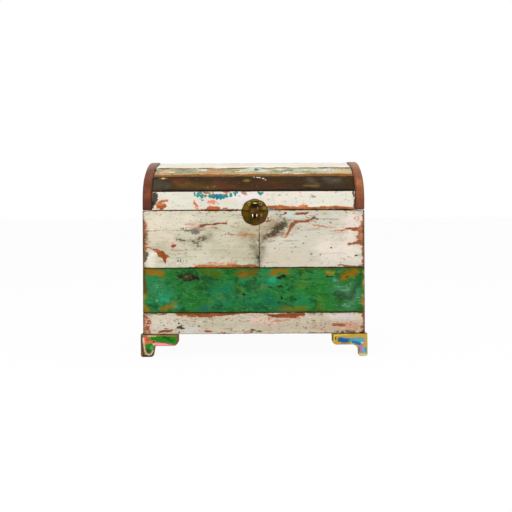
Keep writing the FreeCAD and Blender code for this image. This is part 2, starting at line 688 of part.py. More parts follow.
def make_clasp_plates():
    """Both halves of the plate, drilled, the upper one with two lugs for the hasp's pin."""
    middle = ("clasp_offset", "rim - clasp_drop")
    upper = lobed_plate("clasp_upper_plate", 1)
    pin_y, pin_z = "half_depth + plate_thickness / 2 - hasp_y", "hasp_pin_height + clasp_drop"
    for _, way in SIDES:
        lug_x = f"{way} * (hasp_knuckle_length / 2 + knuckle_gap + lug_length / 2)"
        lug = new_sketch(upper, "YZ_Plane", lug_x)
        draw_circles(lug, [(pin_y, pin_z)], "hasp_knuckle_radius")
        pad(upper, lug, "lug_length")
        root = new_sketch(upper, "YZ_Plane", lug_x)
        low, high = f"{pin_z} - hasp_knuckle_radius", f"{pin_z} + hasp_knuckle_radius"
        draw_outline(root, [(pin_y, low), ("0", low), ("0", high), (pin_y, high)])
        pad(upper, root, "lug_length")
    bore = new_sketch(upper, "YZ_Plane")
    draw_circles(bore, [(pin_y, pin_z)], "hasp_pin_radius + pin_play")
    cut_through(upper, bore)
    lower = lobed_plate("clasp_lower_plate", -1)
    front = "-plate_thickness / 2"
    drill(upper, local(UPPER_NAILS, *middle), "nail_radius + hole_play", "plate_thickness", front)
    drill(lower, local(LOWER_NAILS, *middle), "nail_radius + hole_play", "plate_thickness", front)
    drill(lower, local(eye_holes(), *middle), "wire_radius + hole_play", "plate_thickness", front)


def make_hasp():
    """The hanging hasp, with its barrel and two slots, and the pin that it swings on."""
    body = new_body("hasp", ("clasp_offset", "-hasp_y", "hasp_z"))
    plate_mid = "hasp_y - plate_y - hasp_clear - hasp_thickness / 2"
    half_barrel = "hasp_knuckle_length / 2"
    tip_rise = "sqrt(hasp_tip_radius ^ 2 - hasp_tip_half ^ 2)"
    tip = Bend("0", f"{tip_rise} - hasp_tip_drop", "hasp_tip_radius", True)
    widest, narrowing = "-hasp_shoulder_drop", "-hasp_shoulder_drop - hasp_side"
    plate = new_sketch(body, "XZ_Plane", f"-({plate_mid})")
    draw_outline(plate, [
        (half_barrel, "0"), (f"-{half_barrel}", "0"), (f"-{half_barrel}", "-hasp_neck"),
        ("-hasp_half_width", widest), ("-hasp_half_width", narrowing),
        ("-hasp_tip_half", "-hasp_tip_drop", tip), ("hasp_tip_half", "-hasp_tip_drop"),
        ("hasp_half_width", narrowing), ("hasp_half_width", widest), (half_barrel, "-hasp_neck"),
    ])
    pad(body, plate, "hasp_thickness")
    barrel = new_sketch(body, "YZ_Plane")
    draw_circles(barrel, [("0", "0")], "hasp_knuckle_radius")
    pad(body, barrel, "hasp_knuckle_length")
    bore = new_sketch(body, "YZ_Plane")
    draw_circles(bore, [("0", "0")], "hasp_pin_radius + pin_play")
    cut_through(body, bore)
    slots = new_sketch(body, "XZ_Plane")
    level = "eye_z - hasp_z"
    for side in ("-eye_spacing / 2", "eye_spacing / 2"):
        left, right = f"{side} - slot_half_width", f"{side} + slot_half_width"
        low, high = f"{level} - slot_half_height", f"{level} + slot_half_height"
        draw_outline(slots, [(left, low), (right, low), (right, high), (left, high)])
    cut_through(body, slots)
    pin = new_body("hasp_pin", ("clasp_offset", "-hasp_y", "hasp_z"))
    sketch = new_sketch(pin, "YZ_Plane")
    draw_circles(sketch, [("0", "0")], "hasp_pin_radius")
    pad(pin, sketch, "hasp_knuckle_length + 2 * (knuckle_gap + lug_length)")


def make_eyes():
    """Two wire eyes that stand out through the slots of the hasp, with their legs in the front board."""
    radius, wire = value("eye_radius"), value("wire_radius")
    bow_y, leg = value("-plate_y - eye_stand"), value("eye_stand + plate_thickness + plank_thickness")
    shapes = []
    for side in (-0.5, 0.5):
        middle = FreeCAD.Vector(value("clasp_offset") + side * value("eye_spacing"), bow_y, value("eye_z"))
        up = FreeCAD.Vector(0, 0, radius)
        bow = Part.Edge(Part.Arc(middle + up, middle - FreeCAD.Vector(0, radius, 0), middle - up))
        back = FreeCAD.Vector(0, leg, 0)
        path = Part.Wire([Part.makeLine(middle + up + back, middle + up), bow,
                          Part.makeLine(middle - up, middle - up + back)])
        section = Part.Wire(Part.makeCircle(wire, middle + up + back, FreeCAD.Vector(0, 1, 0)))
        shapes.append(path.makePipeShell([section], True, True))
    group("clasp_eyes", shapes)


def make_clasp_nails():
    """Round-headed nails that hold the plates."""
    profile = headed_fastener(value("nail_radius"), value("nail_length"), value("nail_head_radius"),
                              value("nail_head_height"), value("plate_thickness") - value("hole_play"))
    out = FreeCAD.Vector(0, -1, 0)
    for label, places in (("clasp_upper_nails", UPPER_NAILS), ("clasp_lower_nails", LOWER_NAILS)):
        seats = [FreeCAD.Vector(value(u), value("-plate_y"), value(v)) for u, v in places]
        group(label, [turned(profile, seat, out) for seat in seats])


def write_parts():
    """Checks every object and writes one file for each labelled piece."""
    doc.recompute()
    for item in doc.Objects:
        if {"Invalid", "Error"} & set(item.State):
            raise RuntimeError(f"{item.Label} failed: {item.State}")
    pieces = [item for item in doc.Objects if item.TypeId in ("PartDesign::Body", "Part::Feature")]
    for piece in pieces:
        if piece.Shape.isNull() or not piece.Shape.isValid():
            raise RuntimeError(f"{piece.Label} has no valid shape")
    os.makedirs("parts", exist_ok=True)
    for piece in pieces:
        piece.Shape.exportStep(f"parts/{piece.Label}.step")
    print(f"{len(pieces)} pieces written")


make_front()
make_back()
make_sides()
make_inside()
make_feet()
make_lid_ends()
make_lid_staves()
make_lid_ribs()
make_hinges()
make_clasp_plates()
make_hasp()
make_eyes()
make_clasp_nails()
write_parts()
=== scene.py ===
"""Dresses the dome-top chest: worn painted boards, sawn bracket feet, an aged brass clasp, a plain studio.

Everything is in metres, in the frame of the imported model: +X right, +Y to the back, +Z up, floor at Z = 0.
Marks on a board are in millimetres: along it from the middle of the chest, and up from its lower edge.
"""
from __future__ import annotations

import logging
import math
import random
from dataclasses import dataclass, replace
from enum import Enum
from functools import cached_property

import bmesh
import bpy
import numpy as np
from mathutils import Matrix, Vector, geometry, noise


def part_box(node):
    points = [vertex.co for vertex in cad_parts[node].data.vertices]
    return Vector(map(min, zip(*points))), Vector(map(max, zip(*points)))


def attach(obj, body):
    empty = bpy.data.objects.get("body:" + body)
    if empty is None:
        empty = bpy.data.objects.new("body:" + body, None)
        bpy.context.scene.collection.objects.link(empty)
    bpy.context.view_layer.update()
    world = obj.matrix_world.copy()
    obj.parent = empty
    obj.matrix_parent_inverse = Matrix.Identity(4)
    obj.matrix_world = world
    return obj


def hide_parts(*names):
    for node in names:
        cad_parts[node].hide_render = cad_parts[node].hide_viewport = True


LOG = logging.getLogger("chest")
MM = 0.001
NOISE_SEED = 8
Colour = tuple[float, float, float, float]
Pair = tuple[float, float]
Screen = tuple[int, int, int]
Spot = tuple[float, float, float]
Tree = bpy.types.NodeTree
Node = bpy.types.Node
Socket = bpy.types.NodeSocket
Material = bpy.types.Material
Mesh = bpy.types.Mesh
Array = np.ndarray


def rgb(red: int, green: int, blue: int) -> Colour:
    """A screen colour as a linear colour.

    Args:
        red: 0 to 255.
        green: 0 to 255.
        blue: 0 to 255.

    Returns:
        The colour, with full cover.
    """
    def linear(channel: int) -> float:
        """One channel without its screen curve."""
        share = channel / 255
        return share / 12.92 if share <= 0.04045 else ((share + 0.055) / 1.055) ** 2.4
    return linear(red), linear(green), linear(blue), 1.0


class Side(Enum):
    """The way that a face of the chest looks."""

    FRONT = (0.0, -1.0, 0.0)
    BACK = (0.0, 1.0, 0.0)
    LEFT = (-1.0, 0.0, 0.0)
    RIGHT = (1.0, 0.0, 0.0)
    FRONT_SLOPE = (0.0, -0.6, 0.8)
    BACK_SLOPE = (0.0, 0.6, 0.8)

    @property
    def vector(self) -> Vector:
        """The direction as a vector."""
        return Vector(self.value)


class Body(Enum):
    """What a piece moves with."""

    CHEST = "chest"
    LID = "lid"


class Slot(Enum):
    """A name for the finish of a board or foot, which the pieces keep."""

    WHITE = "white_paint"
    GREEN = "green_paint"
    DARK = "dark_board"
    PALE = "pale_board"
    BROWN = "brown_wood"
    FOOT = "foot_paint"


class Grain(Enum):
    """The way that fibres run, as the Euler angles that bring it to X."""

    WIDE = (0.0, 0.0, 0.0)
    DEEP = (0.0, 0.0, math.pi / 2)
    UPRIGHT = (0.0, math.pi / 2, 0.0)


class Nodes:
    """Short ways to add and join the nodes of one tree."""

    # where the Mix node keeps its factor and two colours, and what it gives
    MIX_INPUTS = (0, 6, 7)
    MIX_RESULT = 2

    def __init__(self, tree: Tree) -> None:
        """Takes the tree to fill."""
        self.tree = tree

    def feed(self, socket: Socket, value: object) -> None:
        """Joins a socket to another one, or sets its own value.

        Args:
            socket: the input.
            value: a socket, or the input's own value.
        """
        if isinstance(value, Socket):
            self.tree.links.new(value, socket)
        else:
            socket.default_value = value

    def add(self, kind: str, inputs: dict | None = None, **settings: object) -> Node:
        """Adds a node.

        Args:
            kind: its Blender type name.
            inputs: values or sockets, by input name or index.
            settings: properties of the node.

        Returns:
            The node.
        """
        node = self.tree.nodes.new(kind)
        for name, value in settings.items():
            setattr(node, name, value)
        self.fill(node, inputs or {})
        return node

    def fill(self, node: Node, inputs: dict) -> None:
        """Joins or sets inputs of a node, by name or index."""
        for name, value in inputs.items():
            self.feed(node.inputs[name], value)

    def math(self, operation: str, *values: object, clamp: bool = False) -> Socket:
        """The result of a Math node."""
        inputs = dict(enumerate(values))
        return self.add("ShaderNodeMath", inputs, operation=operation, use_clamp=clamp).outputs[0]

    def vector(self, operation: str, *values: object, out: str = "Vector") -> Socket:
        """The result of a Vector Math node."""
        return self.add("ShaderNodeVectorMath", dict(enumerate(values)), operation=operation).outputs[out]

    def stretched(self, vector: object, along: float, across: float = 1.0) -> Socket:
        """Places with their X times one number, and the rest times another."""
        return self.vector("MULTIPLY", vector, (along, across, across))

    def part(self, vector: object, axis: str) -> Socket:
        """One coordinate of a vector."""
        return self.add("ShaderNodeSeparateXYZ", {0: vector}).outputs[axis]

    def noise(self, vector: object, scale: object, detail: float = 2.0, rough: float = 0.5) -> Socket:
        """The value of a Noise Texture node."""
        inputs = {"Vector": vector, "Scale": scale, "Detail": detail, "Roughness": rough}
        return self.add("ShaderNodeTexNoise", inputs).outputs["Fac"]

    def remap(self, value: object, low: object, high: object, to_low: object = 0.0,
              to_high: object = 1.0) -> Socket:
        """A value moved smoothly from one range to another, and held at the ends."""
        inputs = {"Value": value, "From Min": low, "From Max": high, "To Min": to_low, "To Max": to_high}
        return self.add("ShaderNodeMapRange", inputs, interpolation_type="SMOOTHSTEP").outputs[0]

    def mix(self, factor: object, first: object, second: object, blend: str = "MIX") -> Socket:
        """Two colours mixed.

        Args:
            factor: share of the second.
            first: a colour.
            second: a colour.
            blend: Blender's name for the way of mixing.

        Returns:
            The mixed colour.
        """
        inputs = dict(zip(self.MIX_INPUTS, (factor, first, second)))
        node = self.add("ShaderNodeMix", inputs, data_type="RGBA", blend_type=blend)
        return node.outputs[self.MIX_RESULT]

    def shade(self, colour: object, amount: object) -> Socket:
        """A colour times a number."""
        return self.mix(1.0, colour, amount, "MULTIPLY")

    def group(self, tree: Tree, **inputs: object) -> Node:
        """Places a shared group, with values or sockets by name."""
        return self.add("ShaderNodeGroup", inputs, node_tree=tree)


class Surface(Nodes):
    """The nodes of a new material with its own Principled BSDF."""

    def __init__(self, name: str) -> None:
        """Starts the material.

        Args:
            name: of the material.
        """
        self.material = bpy.data.materials.new(name)
        self.material.use_nodes = True
        super().__init__(self.material.node_tree)
        self.shader = self.tree.nodes["Principled BSDF"]

    def place(self) -> Socket:
        """Places in the piece's own frame."""
        return self.add("ShaderNodeTexCoord").outputs["Object"]

    def dressed(self, colour: object, rough: object, specular: float, height: object, depth: float,
                strength: float = 0.6) -> Material:
        """Feeds the shader.

        Args:
            colour: of the surface.
            rough: its roughness.
            specular: its Specular IOR Level.
            height: of its relief.
            depth: of the relief, in metres.
            strength: of the relief.

        Returns:
            The material.
        """
        bump = self.add("ShaderNodeBump", {"Height": height, "Distance": depth, "Strength": strength})
        self.fill(self.shader, {"Base Color": colour, "Roughness": rough, "Specular IOR Level": specular,
                                "Normal": bump.outputs["Normal"]})
        return self.material


class Effects:
    """The shader groups that the finishes share, each built when it is first asked for."""

    @staticmethod
    def _start(name: str, inputs: dict[str, str], outputs: list[str]) -> tuple[Nodes, dict, dict]:
        """A new group with its sockets.

        Args:
            name: of the group.
            inputs: socket names and kinds, Float, Vector or Color.
            outputs: its results, a colour where the name is Colour, or else a number.

        Returns:
            The tree's helper, its input sockets by name and its result sockets by name.
        """
        tree = bpy.data.node_groups.new(name, "ShaderNodeTree")
        for label, kind in inputs.items():
            tree.interface.new_socket(label, in_out="INPUT", socket_type=f"NodeSocket{kind}")
        for label in outputs:
            kind = "Color" if label == "Colour" else "Float"
            tree.interface.new_socket(label, in_out="OUTPUT", socket_type=f"NodeSocket{kind}")
        entry, result = tree.nodes.new("NodeGroupInput"), tree.nodes.new("NodeGroupOutput")
        given = {label: entry.outputs[label] for label in inputs}
        return Nodes(tree), given, {label: result.inputs[label] for label in outputs}

    @cached_property
    def wear(self) -> Tree:
        """A torn pattern about zero, drawn out along the grain: it widens and breaks what it is added to.

        Returns:
            The group.
        """
        make, given, result = self._start("Torn Wear", {"Vector": "Vector"}, ["Wear"])
        coarse = make.noise(make.stretched(given["Vector"], 0.4), 62, 5, 0.7)
        fine = make.noise(make.stretched(given["Vector"], 0.55), 250, 3, 0.6)
        both = make.math("ADD", coarse, make.math("MULTIPLY", fine, 0.7))
        make.feed(result["Wear"], make.math("MULTIPLY", make.math("SUBTRACT", both, 0.85), 4.6))
        return make.tree

    @cached_property
    def marked(self) -> Tree:
        """Paint with the stains, flecks and chips that the mesh's points carry, broken up by a fine grit.

        Returns:
            The group.
        """
        sockets = {"Paint": "Color", "Fringe": "Color", "Wear": "Float", "Vector": "Vector"}
        make, given, result = self._start("Marked Paint", sockets, ["Colour", "Lost"])
        seen = {name: make.add("ShaderNodeAttribute", attribute_name=name) for name in MarkField.NAMES}
        fact = {name: node.outputs["Fac"] for name, node in seen.items()}
        tone = {layer: seen[f"{layer.value}_colour"].outputs["Color"] for layer in Layer}
        grit = make.math("SUBTRACT", make.noise(make.stretched(given["Vector"], 0.7), 240, 3, 0.65), 0.5)
        blotch = make.math("MULTIPLY_ADD", given["Wear"], 0.3, make.math("MULTIPLY_ADD", grit, 1.6, 1))
        cover = make.math("MULTIPLY", fact["stain_cover"], blotch, clamp=True)
        colour = make.mix(cover, given["Paint"], tone[Layer.STAIN])
        crowd = make.noise(make.stretched(given["Vector"], 0.55), 165, 3, 0.6)
        level = make.remap(fact["fleck_cover"], 0, 1, 0.72, 0.36)
        speck = make.remap(crowd, level, make.math("ADD", level, 0.06))
        speck = make.math("MULTIPLY", speck, make.remap(fact["fleck_cover"], 0.02, 0.12))
        colour = make.mix(speck, colour, tone[Layer.FLECK])
        torn = make.math("MULTIPLY_ADD", given["Wear"], 1.1, fact["chip_inside"])
        inside = make.math("MULTIPLY_ADD", grit, 6.5, torn)
        fringe = make.math("MULTIPLY", make.remap(inside, -4.5, -0.5, 0, 0.4), fact["chip_bare"])
        colour = make.mix(fringe, colour, given["Fringe"])
        mask = make.math("MULTIPLY", make.remap(inside, -1.2, 1.4), fact["chip_cover"])
        make.feed(result["Colour"], make.mix(mask, colour, tone[Layer.CHIP]))
        make.feed(result["Lost"], make.math("MULTIPLY", mask, fact["chip_bare"]))
        return make.tree

    @cached_property
    def edges(self) -> Tree:
        """How far a place on a board's face is from the face's ends and from its long sides.

        Returns:
            The group.
        """
        sockets = {"Place": "Vector", "Low": "Vector", "High": "Vector"}
        make, given, result = self._start("Board Edges", sockets, ["Ends", "Sides"])
        pairs = (("Place", "Low"), ("High", "Place"))
        gaps = [make.vector("SUBTRACT", given[a], given[b]) for a, b in pairs]
        for label, axis in (("Ends", "X"), ("Sides", "Z")):
            make.feed(result[label], make.math("MINIMUM", *[make.part(gap, axis) for gap in gaps]))
        return make.tree

    @cached_property
    def grain(self) -> Tree:
        """Long wood fibres along X: fine streaks and broad bands.

        Returns:
            The group.
        """
        make, given, result = self._start("Wood Grain", {"Vector": "Vector"}, ["Streak", "Band"])
        make.feed(result["Streak"], make.noise(make.stretched(given["Vector"], 9, 260), 1, 5, 0.6))
        make.feed(result["Band"], make.noise(make.stretched(given["Vector"], 2.6, 42), 1, 3, 0.55))
        return make.tree

    @cached_property
    def patch(self) -> Tree:
        """Scattered patches: where a noise rises above a level.

        Returns:
            The group.
        """
        sockets = {"Vector": "Vector"} | dict.fromkeys(("Scale", "Level", "Soft", "Strength"), "Float")
        make, given, result = self._start("Patches", sockets, ["Mask"])
        cloud = make.noise(given["Vector"], given["Scale"], 4, 0.64)
        full = make.math("ADD", given["Level"], given["Soft"])
        make.feed(result["Mask"], make.remap(cloud, given["Level"], full, 0, given["Strength"]))
        return make.tree

    @cached_property
    def cracks(self) -> Tree:
        """Thin broken lines along the grain.

        Returns:
            The group.
        """
        make, given, result = self._start("Grain Cracks", {"Vector": "Vector"}, ["Mask"])
        waves = make.noise(make.stretched(given["Vector"], 4, 95), 1, 3, 0.6)
        line = make.remap(make.math("ABSOLUTE", make.math("SUBTRACT", waves, 0.5)), 0.004, 0.016, 1, 0)
        kept = make.remap(make.noise(make.stretched(given["Vector"], 12, 30), 1, 3), 0.54, 0.62)
        make.feed(result["Mask"], make.math("MULTIPLY", line, kept))
        return make.tree

    @cached_property
    def spot(self) -> Tree:
        """A soft oval about a point of a face that looks to the front or back.

        Returns:
            The group.
        """
        sockets = {"Vector": "Vector", "Centre": "Vector", "Size": "Vector"}
        make, given, result = self._start("Soft Spot", sockets, ["Mask"])
        offset = make.vector("SUBTRACT", given["Vector"], given["Centre"])
        away = make.vector("DIVIDE", offset, given["Size"])
        flat = make.vector("MULTIPLY", away, (1.0, 0.0, 1.0))
        make.feed(result["Mask"], make.remap(make.vector("LENGTH", flat, out="Value"), 0.55, 1.25, 1, 0))
        return make.tree


class Layer(Enum):
    """How a mark lies on the paint."""

    STAIN = "stain"
    FLECK = "fleck"
    CHIP = "chip"


@dataclass(frozen=True)
class Mark:
    """A worn, stained or chipped place, or a line of painted shade: a run of spots, each with its half
    width, all in millimetres.
    """

    colour: Screen
    spots: tuple[Spot, ...]
    layer: Layer = Layer.CHIP
    strength: float = 1.0
    soft: float = 0.9
    tear: float = 1.0
    bare: bool = True


Marks = tuple[Mark, ...]


def run(colour: Screen, *spots: Spot, **more: object) -> Mark:
    """Paint chipped off along a run of spots: along, up and half width."""
    return Mark(colour, spots, **more)


def oval(x: float, up: float, half_long: float, half_high: float) -> tuple[Spot, Spot]:
    """The run of spots of a rounded mark about a point.

    Args:
        x: its middle along the board.
        up: its middle above the lower edge.
        half_long: half its length.
        half_high: half its height.

    Returns:
        The two spots.
    """
    spread = half_long - half_high
    if spread > 0:
        return (x - spread, up, half_high), (x + spread, up, half_high)
    return (x, up + spread, half_long), (x, up - spread, half_long)


def blob(colour: Screen, x: float, up: float, half_long: float, half_high: float, **more: object) -> Mark:
    """A rounded chip about a point."""
    return Mark(colour, oval(x, up, half_long, half_high), **more)


def soil_and_shade(colour: Screen, *spots: Spot, **more: object) -> Mark:
    """Dirt, another paint or painted shade along a run of spots, with no bare wood about it."""
    return Mark(colour, spots, bare=False, **more)


def stain(colour: Screen, strength: float, soft: float, *spots: Spot) -> Mark:
    """A soft stain on the paint along a run of spots."""
    return Mark(colour, spots, Layer.STAIN, strength, soft, 0.7, False)


def flecks(colour: Screen, strength: float, soft: float, *spots: Spot) -> Mark:
    """Crowded small specks along a run of spots."""
    return Mark(colour, spots, Layer.FLECK, strength, soft, 0.7, False)


def brush(colour: Screen, *spots: Spot, soft: float = 0.9) -> Mark:
    """A brushed field of paint with a fairly clean edge."""
    return Mark(colour, spots, soft=soft, tear=0.25, bare=False)


def dabs(seed: int, colours: list[Screen], count: int, low: Pair, high: Pair,
         largest: float = 2.2) -> list[Mark]:
    """Small separate specks, drawn at random inside a rectangle.

    Args:
        seed: of the draw.
        colours: to choose from.
        count: how many.
        low: the lower left corner, in millimetres.
        high: the upper right corner.
        largest: half length of the longest.

    Returns:
        The marks.
    """
    draw = random.Random(seed)
    marks = []
    for _ in range(count):
        x, up = draw.uniform(low[0], high[0]), draw.uniform(low[1], high[1])
        size = draw.uniform(0.45, 1.0) * largest
        shape = oval(x, up, size * draw.uniform(0.9, 2.8), size * draw.uniform(0.4, 0.75))
        marks.append(soil_and_shade(draw.choice(colours), *shape, strength=draw.uniform(0.35, 0.85)))
    return marks


@dataclass(frozen=True)
class Patch:
    """Scattered patches of one colour, by the scale of a noise and the level that it has to reach."""

    colour: Screen
    scale: float
    level: float
    soft: float = 0.05
    stretch: float = 0.5
    strength: float = 1.0
    bare: bool = False


@dataclass(frozen=True)
class WoodFinish:
    """Bare or varnished wood."""

    dark: Colour
    light: Colour
    roughness: float = 0.7

    def colour(self, make: Nodes, grain: Node) -> Socket:
        """The wood's colour over its grain.

        Args:
            make: the material's nodes.
            grain: its grain group.

        Returns:
            The colour.
        """
        bands = make.math("MULTIPLY", grain.outputs["Band"], 0.6)
        tone = make.math("MULTIPLY_ADD", grain.outputs["Streak"], 0.55, bands)
        return make.mix(make.remap(tone, 0.35, 0.8), self.dark, self.light)


@dataclass(frozen=True)
class PaintFinish:
    """Old paint over wood, with what shows at its worn edges."""

    main: Colour
    tint: Colour
    patches: tuple[Patch, ...]
    edge: Colour
    edge_dark: Colour
    fringe: Colour
    end_wear: float = 3.0
    side_wear: float = 1.2
    streak: float = 0.1
    cracks: float = 0.6
    roughness: float = 0.55
    specular: float = 0.22


BARE = WoodFinish(dark=rgb(112, 74, 44), light=rgb(178, 130, 84))
# dirt and painted shade along each board's edges, where the gaps between the boards are
GRIME_AND_EDGE_SHADE = rgb(52, 38, 28)
GRIME_AND_EDGE_SHADE_REACH = (0.2 * MM, 2.2 * MM)
PAINT_TO_WOOD = (5 * MM, 8 * MM)
RAGGED = 0.6 * MM
SEED_STEP = 0.37
SEED_SHIFT = (3.1, 1.7, 2.3)


@dataclass
class MarkField:
    """What a list of marks does at the points of a mesh whose X and Z lie in the painted face."""

    NAMES = ("stain_colour", "stain_cover", "fleck_colour", "fleck_cover", "chip_colour", "chip_cover",
             "chip_inside", "chip_bare")
    # scale of a noise, and how far it moves a place, in millimetres
    SHAKES = ((24.0, 7.0), (90.0, 4.0))
    TORN_ALONG, TORN_UP, TORN_BY = 30.0, 75.0, 1.3
    CHIP_STEEPNESS, SOFT_STEEPNESS = 4.0, 1.7
    FAR = 6
    OUTSIDE = -8.0

    marks: Marks
    seed: float
    amount: float = 1.0
    deepest: float = 6 * MM

    def write(self, mesh: Mesh) -> None:
        """Stores the marks' colours and covers on the mesh's points.

        Args:
            mesh: with its own X and Z in the painted face.
        """
        spots = np.zeros(len(mesh.vertices) * 3)
        mesh.vertices.foreach_get("co", spots)
        spots = spots.reshape(-1, 3)
        shown = spots[:, 1] < self.deepest
        places, wear = self.shaken(spots[shown])
        count = len(places)
        fields = {name: np.zeros((count, 3) if name.endswith("colour") else count) for name in self.NAMES}
        fields["chip_inside"] += self.OUTSIDE
        total = {layer: np.zeros(count) for layer in Layer}
        for mark in self.marks:
            inside = self.inside(mark, places, wear) / mark.soft
            chip = mark.layer is Layer.CHIP
            steep = self.CHIP_STEEPNESS if chip else self.SOFT_STEEPNESS
            share = 1 / (1 + np.exp(-steep * np.clip(inside, -self.FAR, self.FAR)))
            share = share if chip else share * mark.strength
            before = total[mark.layer]
            total[mark.layer] = share + before * (1 - share)
            weight = share / total[mark.layer]
            tone = fields[f"{mark.layer.value}_colour"]
            tone += (np.array(rgb(*mark.colour)[:3]) - tone) * weight[:, None]
            if chip:
                fields["chip_cover"] += (mark.strength - fields["chip_cover"]) * weight
                fields["chip_bare"] += (float(mark.bare) - fields["chip_bare"]) * weight
                fields["chip_inside"] = np.maximum(fields["chip_inside"], inside)
        fields["stain_cover"], fields["fleck_cover"] = total[Layer.STAIN], total[Layer.FLECK]
        for name, values in fields.items():
            self.store(mesh, name, values, shown)

    def shaken(self, spots: Array) -> tuple[Array, Array]:
        """Places in millimetres, moved about along the grain, and a torn pattern about zero.

        Args:
            spots: points of the mesh, in metres.

        Returns:
            The places, as along and up, and the pattern.
        """
        places, wear = np.zeros((len(spots), 2)), np.zeros(len(spots))
        for index, (x, _, z) in enumerate(spots):
            move = Vector((x, 0.0, z)) / MM
            for scale, reach in self.SHAKES:
                spot = Vector((x * scale * 0.5 + self.seed, self.seed * 3.3, z * scale))
                move += noise.noise_vector(spot) * reach * self.amount
            places[index] = move.x, move.z
            spot = Vector((x * self.TORN_ALONG, self.seed * 7.7, z * self.TORN_UP))
            wear[index] = noise.fractal(spot, 0.7, 2.1, 4) * self.TORN_BY
        return places, wear

    @staticmethod
    def inside(mark: Mark, places: Array, wear: Array) -> Array:
        """How far places are inside a mark, in millimetres, less than zero outside.

        Args:
            mark: the mark.
            places: along and up, in millimetres.
            wear: the torn pattern there.

        Returns:
            A distance for each place.
        """
        spots = mark.spots if len(mark.spots) > 1 else mark.spots * 2
        best = np.full(len(places), -1e3)
        for start, end in zip(spots, spots[1:]):
            step = np.array(end[:2]) - np.array(start[:2])
            square = float(step @ step)
            away = places - np.array(start[:2])
            along = np.clip(away @ step / square, 0, 1) if square else np.zeros(len(places))
            distance = np.linalg.norm(away - along[:, None] * step, axis=1)
            width = start[2] + (end[2] - start[2]) * along
            best = np.maximum(best, width * (1 + wear * mark.tear) - distance)
        return best

    @staticmethod
    def store(mesh: Mesh, name: str, values: Array, shown: Array) -> None:
        """Writes one field to the mesh, with its lowest value at the points that don't show.

        Args:
            mesh: to write to.
            name: of the field.
            values: at the points that show.
            shown: which points these are.
        """
        flat = values.ndim == 1
        lowest = MarkField.OUTSIDE if name == "chip_inside" else 0.0
        full = np.full(len(shown), lowest) if flat else np.zeros((len(shown), 3))
        full[shown] = values
        layer = mesh.attributes.new(name, "FLOAT" if flat else "FLOAT_VECTOR", "POINT")
        layer.data.foreach_set("value" if flat else "vector", full.ravel())


def painted_board(name: str, finish: PaintFinish, low: Pair, high: Pair, seed: float,
                  effects: Effects) -> Material:
    """Paint on the outside of one board, worn at its edges and marked as its points say; bare wood inside.

    Args:
        name: of the material.
        finish: the paint.
        low: the lower left corner of the board's face, in metres.
        high: its upper right corner.
        seed: shifts the textures from board to board.
        effects: the shared groups.

    Returns:
        The material.
    """
    make = Surface(name)
    vector = make.place()
    own = make.vector("ADD", vector, tuple(seed * shift for shift in SEED_SHIFT))
    wear = make.group(effects.wear, Vector=own).outputs["Wear"]
    grain = make.group(effects.grain, Vector=own)
    streak = grain.outputs["Streak"]
    cloud = make.remap(make.noise(make.stretched(own, 0.5), 8, 4, 0.62), 0.38, 0.62)
    colour, lost = make.mix(cloud, finish.main, finish.tint), 0.0
    for patch in finish.patches:
        drawn_out = make.stretched(own, patch.stretch)
        patches = make.group(effects.patch, Vector=drawn_out, Scale=patch.scale, Level=patch.level,
                             Soft=patch.soft, Strength=patch.strength)
        mask = patches.outputs["Mask"]
        colour = make.mix(mask, colour, rgb(*patch.colour))
        lost = make.math("MAXIMUM", lost, mask) if patch.bare else lost
    colour = make.shade(colour, make.remap(streak, 0.28, 0.72, 1 - finish.streak, 1 + finish.streak / 2))
    cracks = make.group(effects.cracks, Vector=own).outputs["Mask"]
    colour = make.mix(make.math("MULTIPLY", cracks, finish.cracks), colour, finish.edge_dark)
    marked = make.group(effects.marked, Paint=colour, Fringe=finish.fringe, Wear=wear, Vector=own)
    colour, lost = marked.outputs["Colour"], make.math("MAXIMUM", lost, marked.outputs["Lost"])
    edges = make.group(effects.edges, Place=vector, Low=(low[0], 0.0, low[1]), High=(high[0], 0.0, high[1]))
    uneven = make.remap(make.noise(make.stretched(own, 0.7), 12, 3), 0.36, 0.68)
    torn = make.math("ADD", wear, 1)
    edge_tone = make.mix(make.remap(make.noise(own, 30, 3), 0.4, 0.6), finish.edge, finish.edge_dark)
    for label, width, least in (("Ends", finish.end_wear, 0.45), ("Sides", finish.side_wear, 0.1)):
        reach = make.math("MULTIPLY_ADD", uneven, 1.6 * width * MM, least * width * MM)
        reach = make.math("MULTIPLY", reach, torn)
        mask = make.remap(make.math("SUBTRACT", reach, edges.outputs[label]), -RAGGED, RAGGED)
        colour, lost = make.mix(mask, colour, edge_tone), make.math("MAXIMUM", lost, mask)
    # dirt and painted shade: darker within about 2 mm of the face's edges
    nearest = make.math("MINIMUM", edges.outputs["Ends"], edges.outputs["Sides"])
    colour = make.mix(make.remap(nearest, *GRIME_AND_EDGE_SHADE_REACH, 0.8, 0), colour, GRIME_AND_EDGE_SHADE)
    fibres = make.math("ADD", streak, make.noise(own, 55, 4, 0.65))
    wood_shade = make.remap(fibres, 0.72, 1.3, 0.52, 1.14)
    colour = make.mix(lost, colour, make.shade(colour, wood_shade))
    inner = make.remap(make.part(vector, "Y"), *PAINT_TO_WOOD)
    colour = make.mix(inner, colour, BARE.colour(make, grain))
    rough = make.remap(lost, 0, 1, finish.roughness, 0.8)
    height = make.math("SUBTRACT", make.math("MULTIPLY", streak, 0.4), lost)
    height = make.math("SUBTRACT", height, make.math("MULTIPLY", cracks, 0.6))
    return make.dressed(colour, rough, finish.specular, height, 0.5 * MM)


